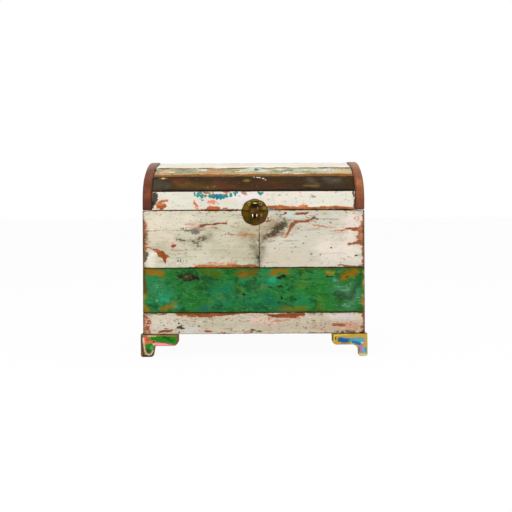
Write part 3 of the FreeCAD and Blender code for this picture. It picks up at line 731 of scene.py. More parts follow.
def bare_wood(name: str, finish: WoodFinish, fibres: Grain, effects: Effects) -> Material:
    """Wood with its grain along one of the piece's axes.

    Args:
        name: of the material.
        finish: the wood.
        fibres: the way that they run.
        effects: the shared groups.

    Returns:
        The material.
    """
    make = Surface(name)
    vector = make.place()
    turn = {"Vector": vector, "Rotation": fibres.value}
    turned = make.add("ShaderNodeVectorRotate", turn, rotation_type="EULER_XYZ").outputs[0]
    grain = make.group(effects.grain, Vector=turned)
    worn = make.noise(turned, 22, 4, 0.6)
    colour = make.shade(finish.colour(make, grain), make.remap(worn, 0.3, 0.7, 0.72, 1.1))
    rough = make.remap(worn, 0.3, 0.7, finish.roughness - 0.08, finish.roughness + 0.1)
    return make.dressed(colour, rough, 0.25, grain.outputs["Streak"], 0.4 * MM, 0.5)


def new_piece(made: Board | SawnPiece, name: str, mesh: Mesh, material: Material) -> None:
    """Puts a mesh in the scene as a piece of the chest.

    Args:
        made: knows its solid, body, slot and own frame.
        name: of the piece.
        mesh: in that frame.
        material: its finish.
    """
    piece = bpy.data.objects.new(name, mesh)
    bpy.context.scene.collection.objects.link(piece)
    place = Matrix((made.along, made.inward, made.up)).transposed().to_4x4()
    place.translation = made.origin
    piece.matrix_world = place
    mesh.materials.append(material)
    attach(piece, made.body.value)
    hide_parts(made.node)
    LOG.info("%s: %d faces", name, len(mesh.polygons))


def hull(points: Array) -> list[Array]:
    """The convex outline of points in a plane, counter-clockwise.

    Args:
        points: a row for each point.

    Returns:
        The outline's corners.
    """
    order = points[np.lexsort((points[:, 1], points[:, 0]))]

    def half(points_in_order: Array) -> list[Array]:
        """The corners along one side.

        Args:
            points_in_order: from one side to the other.

        Returns:
            The outline under them, without its end.
        """
        chain: list[Array] = []
        for point in points_in_order:
            while len(chain) > 1:
                first, second = chain[-1] - chain[-2], point - chain[-2]
                if first[0] * second[1] - first[1] * second[0] > 1e-12:
                    break
                chain.pop()
            chain.append(point)
        return chain[:-1]
    return half(order) + half(order[::-1])


def loft(made: bmesh.types.BMesh, rings: list[list[bmesh.types.BMVert]]) -> None:
    """Joins rings of as many points each, and closes the first.

    Args:
        made: the mesh so far.
        rings: its vertices, ring by ring.
    """
    size = len(rings[0])
    for first, second in zip(rings, rings[1:]):
        for n in range(size):
            made.faces.new((first[n], first[(n + 1) % size], second[(n + 1) % size], second[n]))
    made.faces.new(rings[0][::-1])


def finished(made: bmesh.types.BMesh, name: str) -> Mesh:
    """A closed mesh with its faces turned outwards, and all of them smooth but the flat ends.

    Args:
        made: its faces.
        name: of the mesh.

    Returns:
        The mesh.
    """
    bmesh.ops.recalc_face_normals(made, faces=made.faces)
    for face in made.faces:
        face.smooth = len(face.verts) < 5
    mesh = bpy.data.meshes.new(name)
    made.to_mesh(mesh)
    made.free()
    return mesh


def meeting(first: tuple, second: tuple) -> Array:
    """Where two lines in a plane meet, each given as a point and a direction.

    Args:
        first: a line.
        second: another.

    Returns:
        The point.
    """
    (p, d), (q, e) = first, second
    along = ((q - p)[0] * e[1] - (q - p)[1] * e[0]) / (d[0] * e[1] - d[1] * e[0])
    return p + d * along


@dataclass
class Board:
    """One sawn board, read from its solid, rebuilt with worn edges and painted."""

    node: str
    side: Side
    finish: PaintFinish
    slot: Slot
    body: Body = Body.CHEST
    marks: Marks = ()
    seed: int = 1
    butted: tuple[bool, bool] = (False, False)
    edge_radius: float = 2.6 * MM
    back_radius: float = 1 * MM
    edge_reach: float = 7 * MM
    wear: float = 1.8 * MM
    wave: float = 0.35 * MM
    face_depth: float = 3 * MM
    butted_past: float = 20 * MM
    spacing: float = 2.5 * MM

    def measure(self) -> None:
        """Finds the board's frame, its four-sided section and its ends from the solid."""
        vertices = np.array([vertex.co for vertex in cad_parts[self.node].data.vertices])
        hint = self.side.vector
        flat = Vector((hint.x, hint.y, 0)).normalized()
        outline = hull(np.unique(np.round(np.c_[vertices @ flat, vertices[:, 2]], 6), axis=0))
        runs = [(a, b - a) for a, b in zip(outline, outline[1:] + outline[:1])]
        longest = sorted(sorted(range(len(runs)), key=lambda n: -np.linalg.norm(runs[n][1]))[:4])
        lines = [runs[n] for n in longest]
        corners = [meeting(lines[n - 1], lines[n]) for n in range(4)]
        aim = np.array([hint.dot(flat), hint.z])
        normals = [np.array([line[1][1], -line[1][0]]) for line in lines]
        facing = [float(normal @ aim) / np.linalg.norm(normal) for normal in normals]
        outer = facing.index(max(facing))
        ring = [corners[(outer + step) % 4] for step in range(4)]
        up = (ring[1] - ring[0]) / np.linalg.norm(ring[1] - ring[0])
        self.up = flat * float(up[0]) + Vector((0, 0, float(up[1])))
        self.inward = Vector((0, 0, float(up[0]))) - flat * float(up[1])
        self.along = self.inward.cross(self.up)
        self.origin = flat * float(ring[0][0]) + Vector((0, 0, float(ring[0][1])))
        inward = np.array([-up[1], up[0]])
        self.section = [(float((c - ring[0]) @ inward), float((c - ring[0]) @ up)) for c in ring]
        reach = vertices @ np.array(self.along)
        self.ends = (float(reach.min()), float(reach.max()))
        self.width = self.section[1][1]

    def outline(self) -> list[tuple[float, float, float, float]]:
        """The section's points: depth, height, nearness to an outer edge, and which way that edge pulls.

        Returns:
            A row for each point.
        """
        points = []
        radii = (self.edge_radius, self.edge_radius, self.back_radius, self.back_radius)
        corners = [Vector(c) for c in self.section]
        for index, corner in enumerate(corners):
            before, after = corners[index - 1], corners[(index + 1) % 4]
            start = corner + (before - corner).normalized() * radii[index]
            end = corner + (after - corner).normalized() * radii[index]
            for t in np.linspace(0, 1, 5):
                points.append(start * (1 - t) ** 2 + corner * 2 * t * (1 - t) + end * t ** 2)
            following = after + (corner - after).normalized() * radii[(index + 1) % 4]
            count = max(1, round((following - end).length / (self.spacing * (1 if index == 0 else 4))))
            points += [end.lerp(following, step / count) for step in range(1, count)]
        result = []
        for spot in points:
            near = [max(0.0, 1 - (spot - corners[n]).length / self.edge_reach) for n in (0, 1)]
            result.append((spot.x, spot.y, max(near), 1.0 if near[0] > near[1] else -1.0))
        return result

    def stations(self) -> list[float]:
        """Places along the board, closer together at its rounded ends.

        Returns:
            Distances along the board, in metres.
        """
        low, high = self.ends
        radius = self.edge_radius
        close = [0.0, 0.15 * radius, 0.5 * radius, radius, 2.2 * radius]
        count = max(2, round((high - low - 2 * close[-1]) / self.spacing))
        middle = np.linspace(low + close[-1], high - close[-1], count + 1)[1:-1]
        return [low + step for step in close] + list(middle) + [high - step for step in close[::-1]]

    def mesh(self) -> Mesh:
        """The board as a closed mesh in its own frame.

        Returns:
            The mesh.
        """
        outline = self.outline()
        low, high = self.ends
        made = bmesh.new()
        rings = []
        for x in self.stations():
            drop = max(0.0, self.edge_radius - min(x - low, high - x))
            sink = self.edge_radius - math.sqrt(max(self.edge_radius ** 2 - drop ** 2, 0.0))
            ring = []
            for depth, height, near, pull in outline:
                chip = noise.noise(Vector((x * 24, pull * 9 + self.seed * 5.3, self.seed * 1.9)))
                fine = noise.noise(Vector((x * 110, pull * 7 + self.seed * 2.7, self.seed * 4.1)))
                bite = self.wear * near * max(0.0, chip * 1.3 + fine * 0.7)
                wave = self.wave * noise.noise(Vector((x * 5, height * 14, self.seed * 3.7)))
                face = max(0.0, 1 - depth / self.face_depth)
                spot = (x, depth + sink * face + bite + max(wave, 0) * face, height + pull * bite * 0.6)
                ring.append(made.verts.new(spot))
            rings.append(ring)
        loft(made, rings)
        made.faces.new(rings[-1])
        return finished(made, f"{self.node}_board")

    def build(self, effects: Effects) -> None:
        """Measures, builds and paints the board.

        Args:
            effects: the shared groups.
        """
        self.measure()
        past = [self.butted_past if meets else 0.0 for meets in self.butted]
        low, high = (self.ends[0] - past[0], 0.0), (self.ends[1] + past[1], self.width)
        seed = self.seed * SEED_STEP
        material = painted_board(f"{self.node}_paint", self.finish, low, high, seed, effects)
        mesh = self.mesh()
        MarkField(self.marks, seed).write(mesh)
        new_piece(self, f"{self.node}_worn", mesh, material)


@dataclass
class SawnPiece:
    """A piece sawn from a board to a curved outline, read from the face of its solid, with rounded edges."""

    # how square to its side a face of the outline looks, and how near to the foremost point it is
    SQUARE, FLUSH = 0.999, 0.05 * MM

    node: str
    side: Side
    slot: Slot
    body: Body
    radius: float
    spacing: float = 4 * MM
    back_radius: float = 1 * MM
    wobble: float = 0.0

    def outline(self) -> list[Vector]:
        """The outer outline of the face that looks the piece's way, in its own frame.

        Returns:
            Its points, as along and up.
        """
        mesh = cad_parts[self.node].data
        outward = self.side.vector
        self.inward = -outward
        self.up = Vector((0, 0, 1))
        self.along = self.inward.cross(self.up)
        level = max(vertex.co.dot(outward) for vertex in mesh.vertices)
        depths = [level - vertex.co.dot(outward) for vertex in mesh.vertices]
        self.depth = max(depths)
        self.origin = outward * level
        keys = [tuple(np.round((v.co.dot(self.along), v.co.dot(self.up)), 6)) for v in mesh.vertices]
        uses: set[tuple] = set()
        for polygon in mesh.polygons:
            if polygon.normal.dot(outward) < self.SQUARE or depths[polygon.vertices[0]] > self.FLUSH:
                continue
            ring = [keys[v] for v in polygon.vertices]
            uses.update(zip(ring, ring[1:] + ring[:1]))
        border = {a: b for a, b in uses if (b, a) not in uses}
        loops = []
        while border:
            start = min(border)
            spot = border.pop(start)
            loop = [start]
            while spot != start and spot in border:
                loop.append(spot)
                spot = border.pop(spot)
            loops.append(loop)
        largest = max(loops, key=lambda loop: sum(math.dist(a, b) for a, b in zip(loop, loop[1:])))
        return self.even([Vector(spot) for spot in largest])

    def even(self, loop: list[Vector]) -> list[Vector]:
        """The loop with long runs divided, and turned counter-clockwise.

        Args:
            loop: corners of the outline.

        Returns:
            Its points.
        """
        area = sum(a.x * b.y - a.y * b.x for a, b in zip(loop, loop[1:] + loop[:1]))
        loop = loop if area > 0 else loop[::-1]
        spots = []
        for a, b in zip(loop, loop[1:] + loop[:1]):
            count = max(1, round((b - a).length / self.spacing))
            spots += [a.lerp(b, step / count) for step in range(count)]
        if self.wobble:
            for spot in spots:
                moves = [noise.noise(Vector((spot.x * 30, spot.y * 30, level))) for level in (1.3, 7.9)]
                spot += Vector(moves) * self.wobble
        return spots

    @staticmethod
    def inset(loop: list[Vector], amount: float) -> list[Vector]:
        """The loop moved inwards.

        Args:
            loop: points of the outline.
            amount: how far, in metres.

        Returns:
            The moved points.
        """
        moved = []
        for index, spot in enumerate(loop):
            before = (spot - loop[index - 1]).normalized()
            after = (loop[(index + 1) % len(loop)] - spot).normalized()
            across = Vector((-(before.y + after.y), before.x + after.x))
            across = across.normalized() if across.length > 1e-6 else Vector((-after.y, after.x))
            stretch = 1 / max(0.5, across.dot(Vector((-after.y, after.x))))
            moved.append(spot + across * amount * stretch)
        return moved

    def mesh(self) -> Mesh:
        """The piece as a closed mesh in its own frame, with each point's distance from the outline.

        Returns:
            The mesh.
        """
        loop = self.outline()
        made = bmesh.new()
        away = made.verts.layers.float.new("rim")
        rings = []
        profile = [(self.back_radius, self.depth), (0.0, self.depth - self.back_radius)]
        profile += [(self.radius * (1 - math.cos(a)), self.radius * (1 - math.sin(a)))
                    for a in np.linspace(0, math.pi / 2, 5)]
        for amount, depth in profile:
            spots = self.inset(loop, amount) if amount else loop
            ring = [made.verts.new((spot.x, depth, spot.y)) for spot in spots]
            for vertex in ring:
                vertex[away] = amount
            rings.append(ring)
        loft(made, rings)
        self.fill(made, rings[-1], away)
        return finished(made, f"{self.node}_sawn")

    def fill(self, made: bmesh.types.BMesh, ring: list, away: object) -> None:
        """Closes the front face with triangles over a grid of points.

        Args:
            made: the mesh so far.
            ring: vertices round the face.
            away: the layer of distances from the outline.
        """
        rim = [Vector((vertex.co.x, vertex.co.z)) for vertex in ring]
        low = Vector((min(p.x for p in rim), min(p.y for p in rim)))
        high = Vector((max(p.x for p in rim), max(p.y for p in rim)))
        edges = [(n, (n + 1) % len(rim)) for n in range(len(rim))]
        lines = np.array(rim)
        inner, gaps = [], []
        for x in np.arange(low.x + self.spacing / 2, high.x, self.spacing):
            for y in np.arange(low.y + self.spacing / 2, high.y, self.spacing):
                gap = float(np.min(np.linalg.norm(lines - np.array((x, y)), axis=1)))
                if gap > self.spacing * 0.7:
                    inner.append(Vector((x, y)))
                    gaps.append(gap)
        spots, _, faces, origins, _, _ = geometry.delaunay_2d_cdt(rim + inner, edges, [], 1, 1e-7)
        vertices = []
        for spot, source in zip(spots, origins):
            if source and source[0] < len(rim):
                vertices.append(ring[source[0]])
                continue
            vertex = made.verts.new((spot.x, ring[0].co.y, spot.y))
            vertex[away] = self.radius + (gaps[source[0] - len(rim)] if source else 0.0)
            vertices.append(vertex)
        for face in faces:
            made.faces.new([vertices[n] for n in face])
        bmesh.ops.delete(made, geom=[v for v in made.verts if not v.link_faces], context="VERTS")

    def build(self, material: Material, marks: Marks = ()) -> None:
        """Builds the piece in the given finish, with marks on its face.

        Args:
            material: its finish.
            marks: fields of paint on its face.
        """
        mesh = self.mesh()
        if marks:
            MarkField(marks, seed=1.0, amount=0.1).write(mesh)
        new_piece(self, f"{self.node}_shaped", mesh, material)


ORANGE = (170, 96, 54)
RUST = (160, 84, 52)
BROWN = (126, 78, 42)
PINK = (208, 130, 100)
ROSE = (224, 186, 170)
SOOT = (58, 48, 38)
GREY = (98, 90, 76)
INK = (30, 32, 24)
OCHRE = (138, 98, 2)

DARK_SPECKS = Patch((92, 84, 70), scale=150, level=0.605, soft=0.05, stretch=0.4, strength=0.75)
RUST_CHIPS = Patch((168, 112, 78), scale=80, level=0.675, soft=0.03, stretch=0.45, strength=0.8, bare=True)
PALE_FLECKS = Patch((232, 226, 214), scale=95, level=0.6, soft=0.1, stretch=0.35, strength=0.5)
WHITE_PAINT = PaintFinish(
    main=rgb(205, 199, 176), tint=rgb(193, 188, 164), edge=rgb(146, 96, 58), edge_dark=rgb(84, 62, 44),
    fringe=rgb(206, 172, 142), end_wear=4.2, side_wear=1.5, streak=0.06, cracks=0.35, specular=0.15,
    patches=(
        Patch((218, 206, 188), 9, 0.54, 0.12, 0.5, 0.7),
        Patch((176, 170, 146), 16, 0.57, 0.1, 0.5, 0.6),
        Patch((160, 154, 134), 85, 0.58, 0.08, 0.1, 0.6),
        PALE_FLECKS,
        DARK_SPECKS,
        RUST_CHIPS,
    ))
ROSY_PAINT = replace(WHITE_PAINT, main=rgb(208, 202, 186), tint=rgb(198, 192, 174))
DULL_PAINT = replace(WHITE_PAINT, main=rgb(202, 192, 171), tint=rgb(188, 178, 155))
RAIL_PAINT = PaintFinish(
    main=rgb(225, 221, 206), tint=rgb(216, 211, 196), edge=rgb(176, 108, 62), edge_dark=rgb(84, 60, 44),
    fringe=rgb(234, 200, 178), end_wear=1.4, side_wear=0.8, streak=0.04, cracks=0.2, specular=0.15,
    patches=(
        Patch((230, 218, 206), 10, 0.52, 0.12, 0.4, 0.8),
        Patch((206, 208, 192), 22, 0.6, 0.08, 0.4, 0.7),
        Patch((108, 102, 92), 140, 0.65, 0.03, 0.8, 0.85),
        RUST_CHIPS,
    ))
GREEN_PAINT = PaintFinish(
    main=rgb(34, 101, 32), tint=rgb(40, 115, 51), edge=rgb(140, 104, 30), edge_dark=rgb(84, 72, 30),
    fringe=rgb(52, 92, 42), end_wear=2.2, side_wear=1.2, streak=0.16, cracks=0.3, specular=0.05,
    patches=(
        Patch((32, 126, 76), 11, 0.5, 0.12, 0.7, 0.75),
        Patch((18, 68, 28), 28, 0.5, 0.1, 0.7, 0.75),
        Patch((84, 118, 28), 17, 0.56, 0.1, 0.7, 0.65),
        Patch((62, 138, 80), 90, 0.54, 0.1, 0.45, 0.45),
        Patch((14, 52, 22), 110, 0.58, 0.08, 0.4, 0.7),
        Patch((70, 148, 84), 190, 0.57, 0.07, 0.4, 0.5),
    ))
DARK_PAINT = PaintFinish(
    main=rgb(62, 42, 16), tint=rgb(48, 33, 15), edge=rgb(52, 34, 20), edge_dark=rgb(30, 20, 12),
    fringe=rgb(76, 54, 34), end_wear=1.6, side_wear=0.8, streak=0.16, cracks=0.25, specular=0.06,
    patches=(
        Patch((84, 46, 20), 11, 0.58, 0.12, 0.3, 0.5),
        Patch((80, 62, 18), 17, 0.62, 0.1, 0.3, 0.5),
        Patch((104, 88, 66), 120, 0.68, 0.03, 0.5, 0.6),
    ))
MOTTLED_PAINT = PaintFinish(
    main=rgb(182, 176, 142), tint=rgb(150, 152, 116), edge=rgb(136, 88, 36), edge_dark=rgb(84, 60, 28),
    fringe=rgb(210, 176, 124), end_wear=2.4, side_wear=1.6, streak=0.06, cracks=0.2, specular=0.15,
    patches=(
        Patch((220, 216, 194), 40, 0.52, 0.06, 0.5),
        Patch((196, 160, 104), 46, 0.57, 0.05, 0.5, 0.8),
        Patch((116, 124, 108), 60, 0.57, 0.05, 0.5, 0.8),
        Patch((206, 216, 210), 70, 0.6, 0.05, 0.5),
        Patch((88, 74, 44), 90, 0.6, 0.04, 0.5),
        Patch((196, 130, 90), 75, 0.63, 0.04, 0.5, bare=True),
    ))
CREAM_PAINT = PaintFinish(
    main=rgb(228, 221, 207), tint=rgb(222, 214, 198), edge=rgb(170, 136, 90), edge_dark=rgb(120, 92, 58),
    fringe=rgb(222, 200, 164), streak=0.04, cracks=0.15, end_wear=0.8, specular=0.15,
    patches=(
        Patch((234, 230, 220), 14, 0.5, 0.1, 0.4),
        Patch((200, 190, 160), 60, 0.64, 0.06, 0.4, 0.6),
    ))


UPPER_LEFT_MARKS = (
    stain((226, 215, 195), 0.8, 14, (-330, 150, 24), (-260, 140, 28), (-190, 158, 18)),
    stain((222, 206, 186), 0.7, 14, (-330, 96, 18), (-270, 96, 18)),
    stain((236, 228, 214), 0.8, 8, (-318, 40, 12), (-322, 8, 12)),
    stain((170, 150, 116), 0.85, 12, (-34, 112, 18), (10, 98, 22)),
    stain((150, 145, 118), 0.5, 6, (-320, 60, 6), (-300, 62, 5)),
    stain((176, 172, 120), 0.5, 6, (-300, 76, 7), (-288, 76, 6)),
    stain((176, 168, 142), 0.55, 10, (-120, 60, 20), (-60, 48, 22), (-30, 70, 18)),
    stain((120, 108, 82), 0.8, 10, (-2, 74, 15), (12, 46, 13), (14, 22, 10)),
    stain((180, 156, 130), 0.6, 7, (2, 134, 10), (14, 112, 8)),
    flecks((112, 102, 84), 0.28, 14, (-330, 150, 20), (-180, 150, 24), (-20, 130, 34)),
    flecks((170, 110, 80), 0.3, 9, (-300, 124, 10), (-210, 128, 10), (-110, 128, 14)),
    flecks((128, 118, 96), 0.28, 14, (-220, 50, 24), (-100, 46, 34), (-10, 40, 26)),
    stain((120, 76, 22), 1, 4, (-350, 172, 9), (-347, 100, 9), (-349, 4, 10)),
    run((196, 122, 90), (-347, 158, 3), (-342, 142, 7), (-346, 126, 5), soft=1.6),
    run((190, 108, 68), (-346, 148, 3), (-343, 136, 4), soft=1.6),
    soil_and_shade((110, 102, 84), (-340, 119, 1.5), (-262, 118, 1.2), (-195, 117, 1.5), strength=0.85, soft=0.7,
         tear=0.5),
    flecks(SOOT, 0.5, 2.4, (-336, 119, 2), (-195, 117, 2)),
    run((206, 164, 144), (-190, 129, 1.8), (-174, 128, 1.8)),
    soil_and_shade((118, 112, 100), (-188, 115, 8.4), (-177, 115, 8.4), soft=2.2, tear=0.5),
    flecks((80, 74, 64), 0.7, 3, (-187, 114, 6), (-178, 113, 6)),
    run((206, 150, 124), (-214, 134.6, 1.2), (-181, 136, 1.4), strength=0.8),
    run((146, 74, 46), (-172, 133, 2.2), (-132, 137, 3), (-100, 141.5, 3.8), (-87, 142, 2.6), tear=0.5),
    soil_and_shade(GREY, (-246, 145, 0.9), (-233, 139.6, 1.2), strength=0.8),
    stain((148, 142, 114), 0.8, 5, (-242, 94, 6), (-206, 84, 8), (-172, 77, 7)),
    flecks((96, 90, 68), 0.75, 5, (-242, 95, 6), (-212, 86, 8), (-174, 77, 7)),
    stain((142, 136, 110), 0.85, 6, (-168, 98, 8), (-137, 103, 9)),
    flecks((96, 90, 70), 0.6, 5, (-166, 98, 8), (-139, 102, 8)),
    soil_and_shade(GREY, (-80, 110, 1.3), (-80, 100, 1.1)),
    soil_and_shade(GREY, (-68, 106, 1.2), (-68, 96, 1.1)),
    flecks((180, 122, 80), 0.62, 3, (-97, 103, 4.4), (16, 101, 5)),
    stain((222, 176, 160), 0.7, 4, (-258, 68, 9), (-246, 72, 6)),
    run((158, 76, 66), (-260, 67, 2), (-253, 70, 4.8), (-247, 73, 1.6)),
    run((170, 98, 54), (-348, 88, 3), (-345, 70, 6), (-341, 58, 6), (-347, 46, 4), soft=1.4, tear=0.7),
    run((168, 94, 52), (-340, 64, 3.4), (-322, 57, 2.4), (-306, 50, 3.2), (-292, 44, 5), (-270, 33, 3),
        tear=0.6),
    run((166, 88, 40), (-296, 37, 4.6), (-282, 31, 7.6), (-281, 17, 2.4), tear=0.6),
    soil_and_shade((94, 86, 66), (-348, 42, 9), (-340, 35, 10), (-347, 12, 8), soft=2.2, tear=0.6),
    flecks((60, 54, 42), 0.8, 4, (-344, 40, 9), (-338, 34, 8), (-347, 12, 7)),
    *[soil_and_shade(GREY, *oval(x, 22, 1.7, 1.5)) for x in (-241, -231, -220, -212)],
    run((182, 114, 62), (-190, 2, 3), (-170, 4, 4.8), (-80, 4, 5), (-54, 3, 5), soft=1.3, tear=0.4),
    run((150, 100, 52), (-60, 3, 5), (-10, 4, 5.4), (18, 3, 5.4), soft=1.3, tear=0.4),
    flecks((206, 150, 118), 0.7, 3, (-190, 12, 3), (-96, 14, 4), (-20, 13, 4)),
    flecks((200, 136, 110), 0.6, 3, (-340, 177, 3), (-60, 177, 3)),
    *dabs(31, [GREY, SOOT, RUST, (150, 120, 96)], 150, (-344, 10), (14, 174), 1.7),
    *dabs(32, [GREY, SOOT, BROWN, (196, 140, 108)], 60, (-330, 112), (-20, 174), 2.2),
    stain((66, 58, 42), 0.9, 5, (19, 56, 2), (18, 34, 7), (19, 4, 5)),
    soil_and_shade(INK, (18, 108, 0.5), (18, 60, 1.2), (18, 34, 3.2), (18, 20, 3), (18, 2, 1.4), tear=0.4),
)
UPPER_RIGHT_MARKS = (
    stain((66, 58, 42), 0.9, 5, (17, 56, 2), (18, 34, 8), (17, 4, 6)),
    soil_and_shade(INK, (18, 108, 0.5), (18, 60, 0.9), (18, 34, 2.4), (18, 20, 2.4), (18, 2, 1), tear=0.4),
    stain((158, 140, 108), 0.9, 12, (24, 70, 16), (36, 114, 20), (70, 144, 14)),
    stain((122, 112, 86), 0.8, 9, (24, 70, 10), (30, 50, 10), (24, 22, 8)),
    stain((206, 192, 170), 0.6, 12, (60, 30, 24), (150, 24, 20)),
    stain((230, 216, 203), 0.8, 16, (230, 56, 26), (300, 60, 30), (310, 140, 28)),
    flecks((124, 104, 82), 0.36, 10, (40, 150, 16), (140, 124, 24), (200, 150, 18)),
    flecks((150, 116, 92), 0.26, 12, (210, 120, 20), (310, 112, 22)),
    stain((128, 116, 88), 0.9, 8, (33, 90, 5), (58, 107, 9), (82, 126, 13), (98, 141, 9)),
    stain((56, 44, 28), 1, 4, (34, 92, 3), (54, 104, 6), (74, 120, 9), (90, 132, 8), (99, 140, 4)),
    flecks((74, 58, 38), 0.4, 6, (40, 94, 5), (82, 125, 14), (97, 140, 9)),
    soil_and_shade((74, 60, 40), (46, 99, 2), (66, 114, 4), (84, 129, 7), (94, 137, 4), soft=3.2, tear=0.5),
    flecks((178, 122, 84), 0.5, 5, (50, 88, 5), (80, 96, 8), (112, 104, 10)),
    flecks((150, 94, 64), 0.6, 5, (36, 141, 6), (62, 146, 6)),
    flecks((172, 116, 78), 0.55, 3, (20, 100, 4), (60, 98, 3.4)),
    run((168, 104, 66), (107, 106, 3), (110.6, 119, 3.8), (120, 136, 3.8), (133, 143.6, 4), tear=0.7),
    run((162, 94, 60), (133, 143.6, 4), (156, 147.5, 3.8), (184, 148.5, 3.8), tear=0.7),
    soil_and_shade((104, 70, 52), (182, 148, 3), (194, 157, 2.6)),
    blob((150, 62, 58), 101, 172, 4.6, 4),
    stain((196, 216, 208), 0.7, 4, (92, 161, 4), (118, 163, 5), (144, 158, 4)),
    run((156, 84, 62), (135, 171, 2.6), (174, 171, 3)),
    run((198, 136, 106), (184, 136, 2), (218, 131, 2.2), (258, 126, 1.6), tear=0.6),
    run((196, 116, 84), (238, 115, 1.5), (264, 116, 2), (291, 115, 2)),
    run((168, 92, 56), (288, 122, 4), (306, 121, 6), (334, 116, 7), tear=0.7),
    run((184, 116, 82), (342, 140, 6), (340, 120, 13), (339, 98, 14), (341, 78, 12), soft=1.5, tear=0.6),
    run((160, 104, 70), (348, 138, 3), (347, 96, 4), (347, 74, 4), soft=1.5),
    run((150, 92, 56), (298, 72, 3), (318, 73, 4.4), (338, 78, 6), tear=0.7),
    run((158, 94, 74), (347, 66, 4), (348, 34, 3), (347, 4, 5)),
    soil_and_shade((208, 138, 136), *oval(325, 153, 5.8, 4.6)),
    soil_and_shade((226, 204, 196), *oval(325, 153, 3, 2.4)),
    soil_and_shade(SOOT, *oval(325, 38, 4, 2.6)),
    flecks(GREY, 0.8, 3, (300, 33, 4), (311, 30, 4)),
    *[soil_and_shade(GREY, *oval(x, up, 1.9, 1.7))
      for x, up in ((154, 76), (131, 62), (66, 62), (246, 60), (214, 40))],
    run((150, 96, 70), (265, 4, 2), (300, 4, 2.6), (346, 3, 4)),
    flecks((86, 88, 74), 0.42, 6, (40, 168, 8), (120, 168, 10), (196, 162, 10)),
    *dabs(41, [GREY, RUST, (160, 124, 98), (150, 146, 130)], 90, (24, 8), (346, 174), 1.5),
    *dabs(42, [GREY, BROWN, PINK], 40, (180, 90), (335, 176), 2),
)
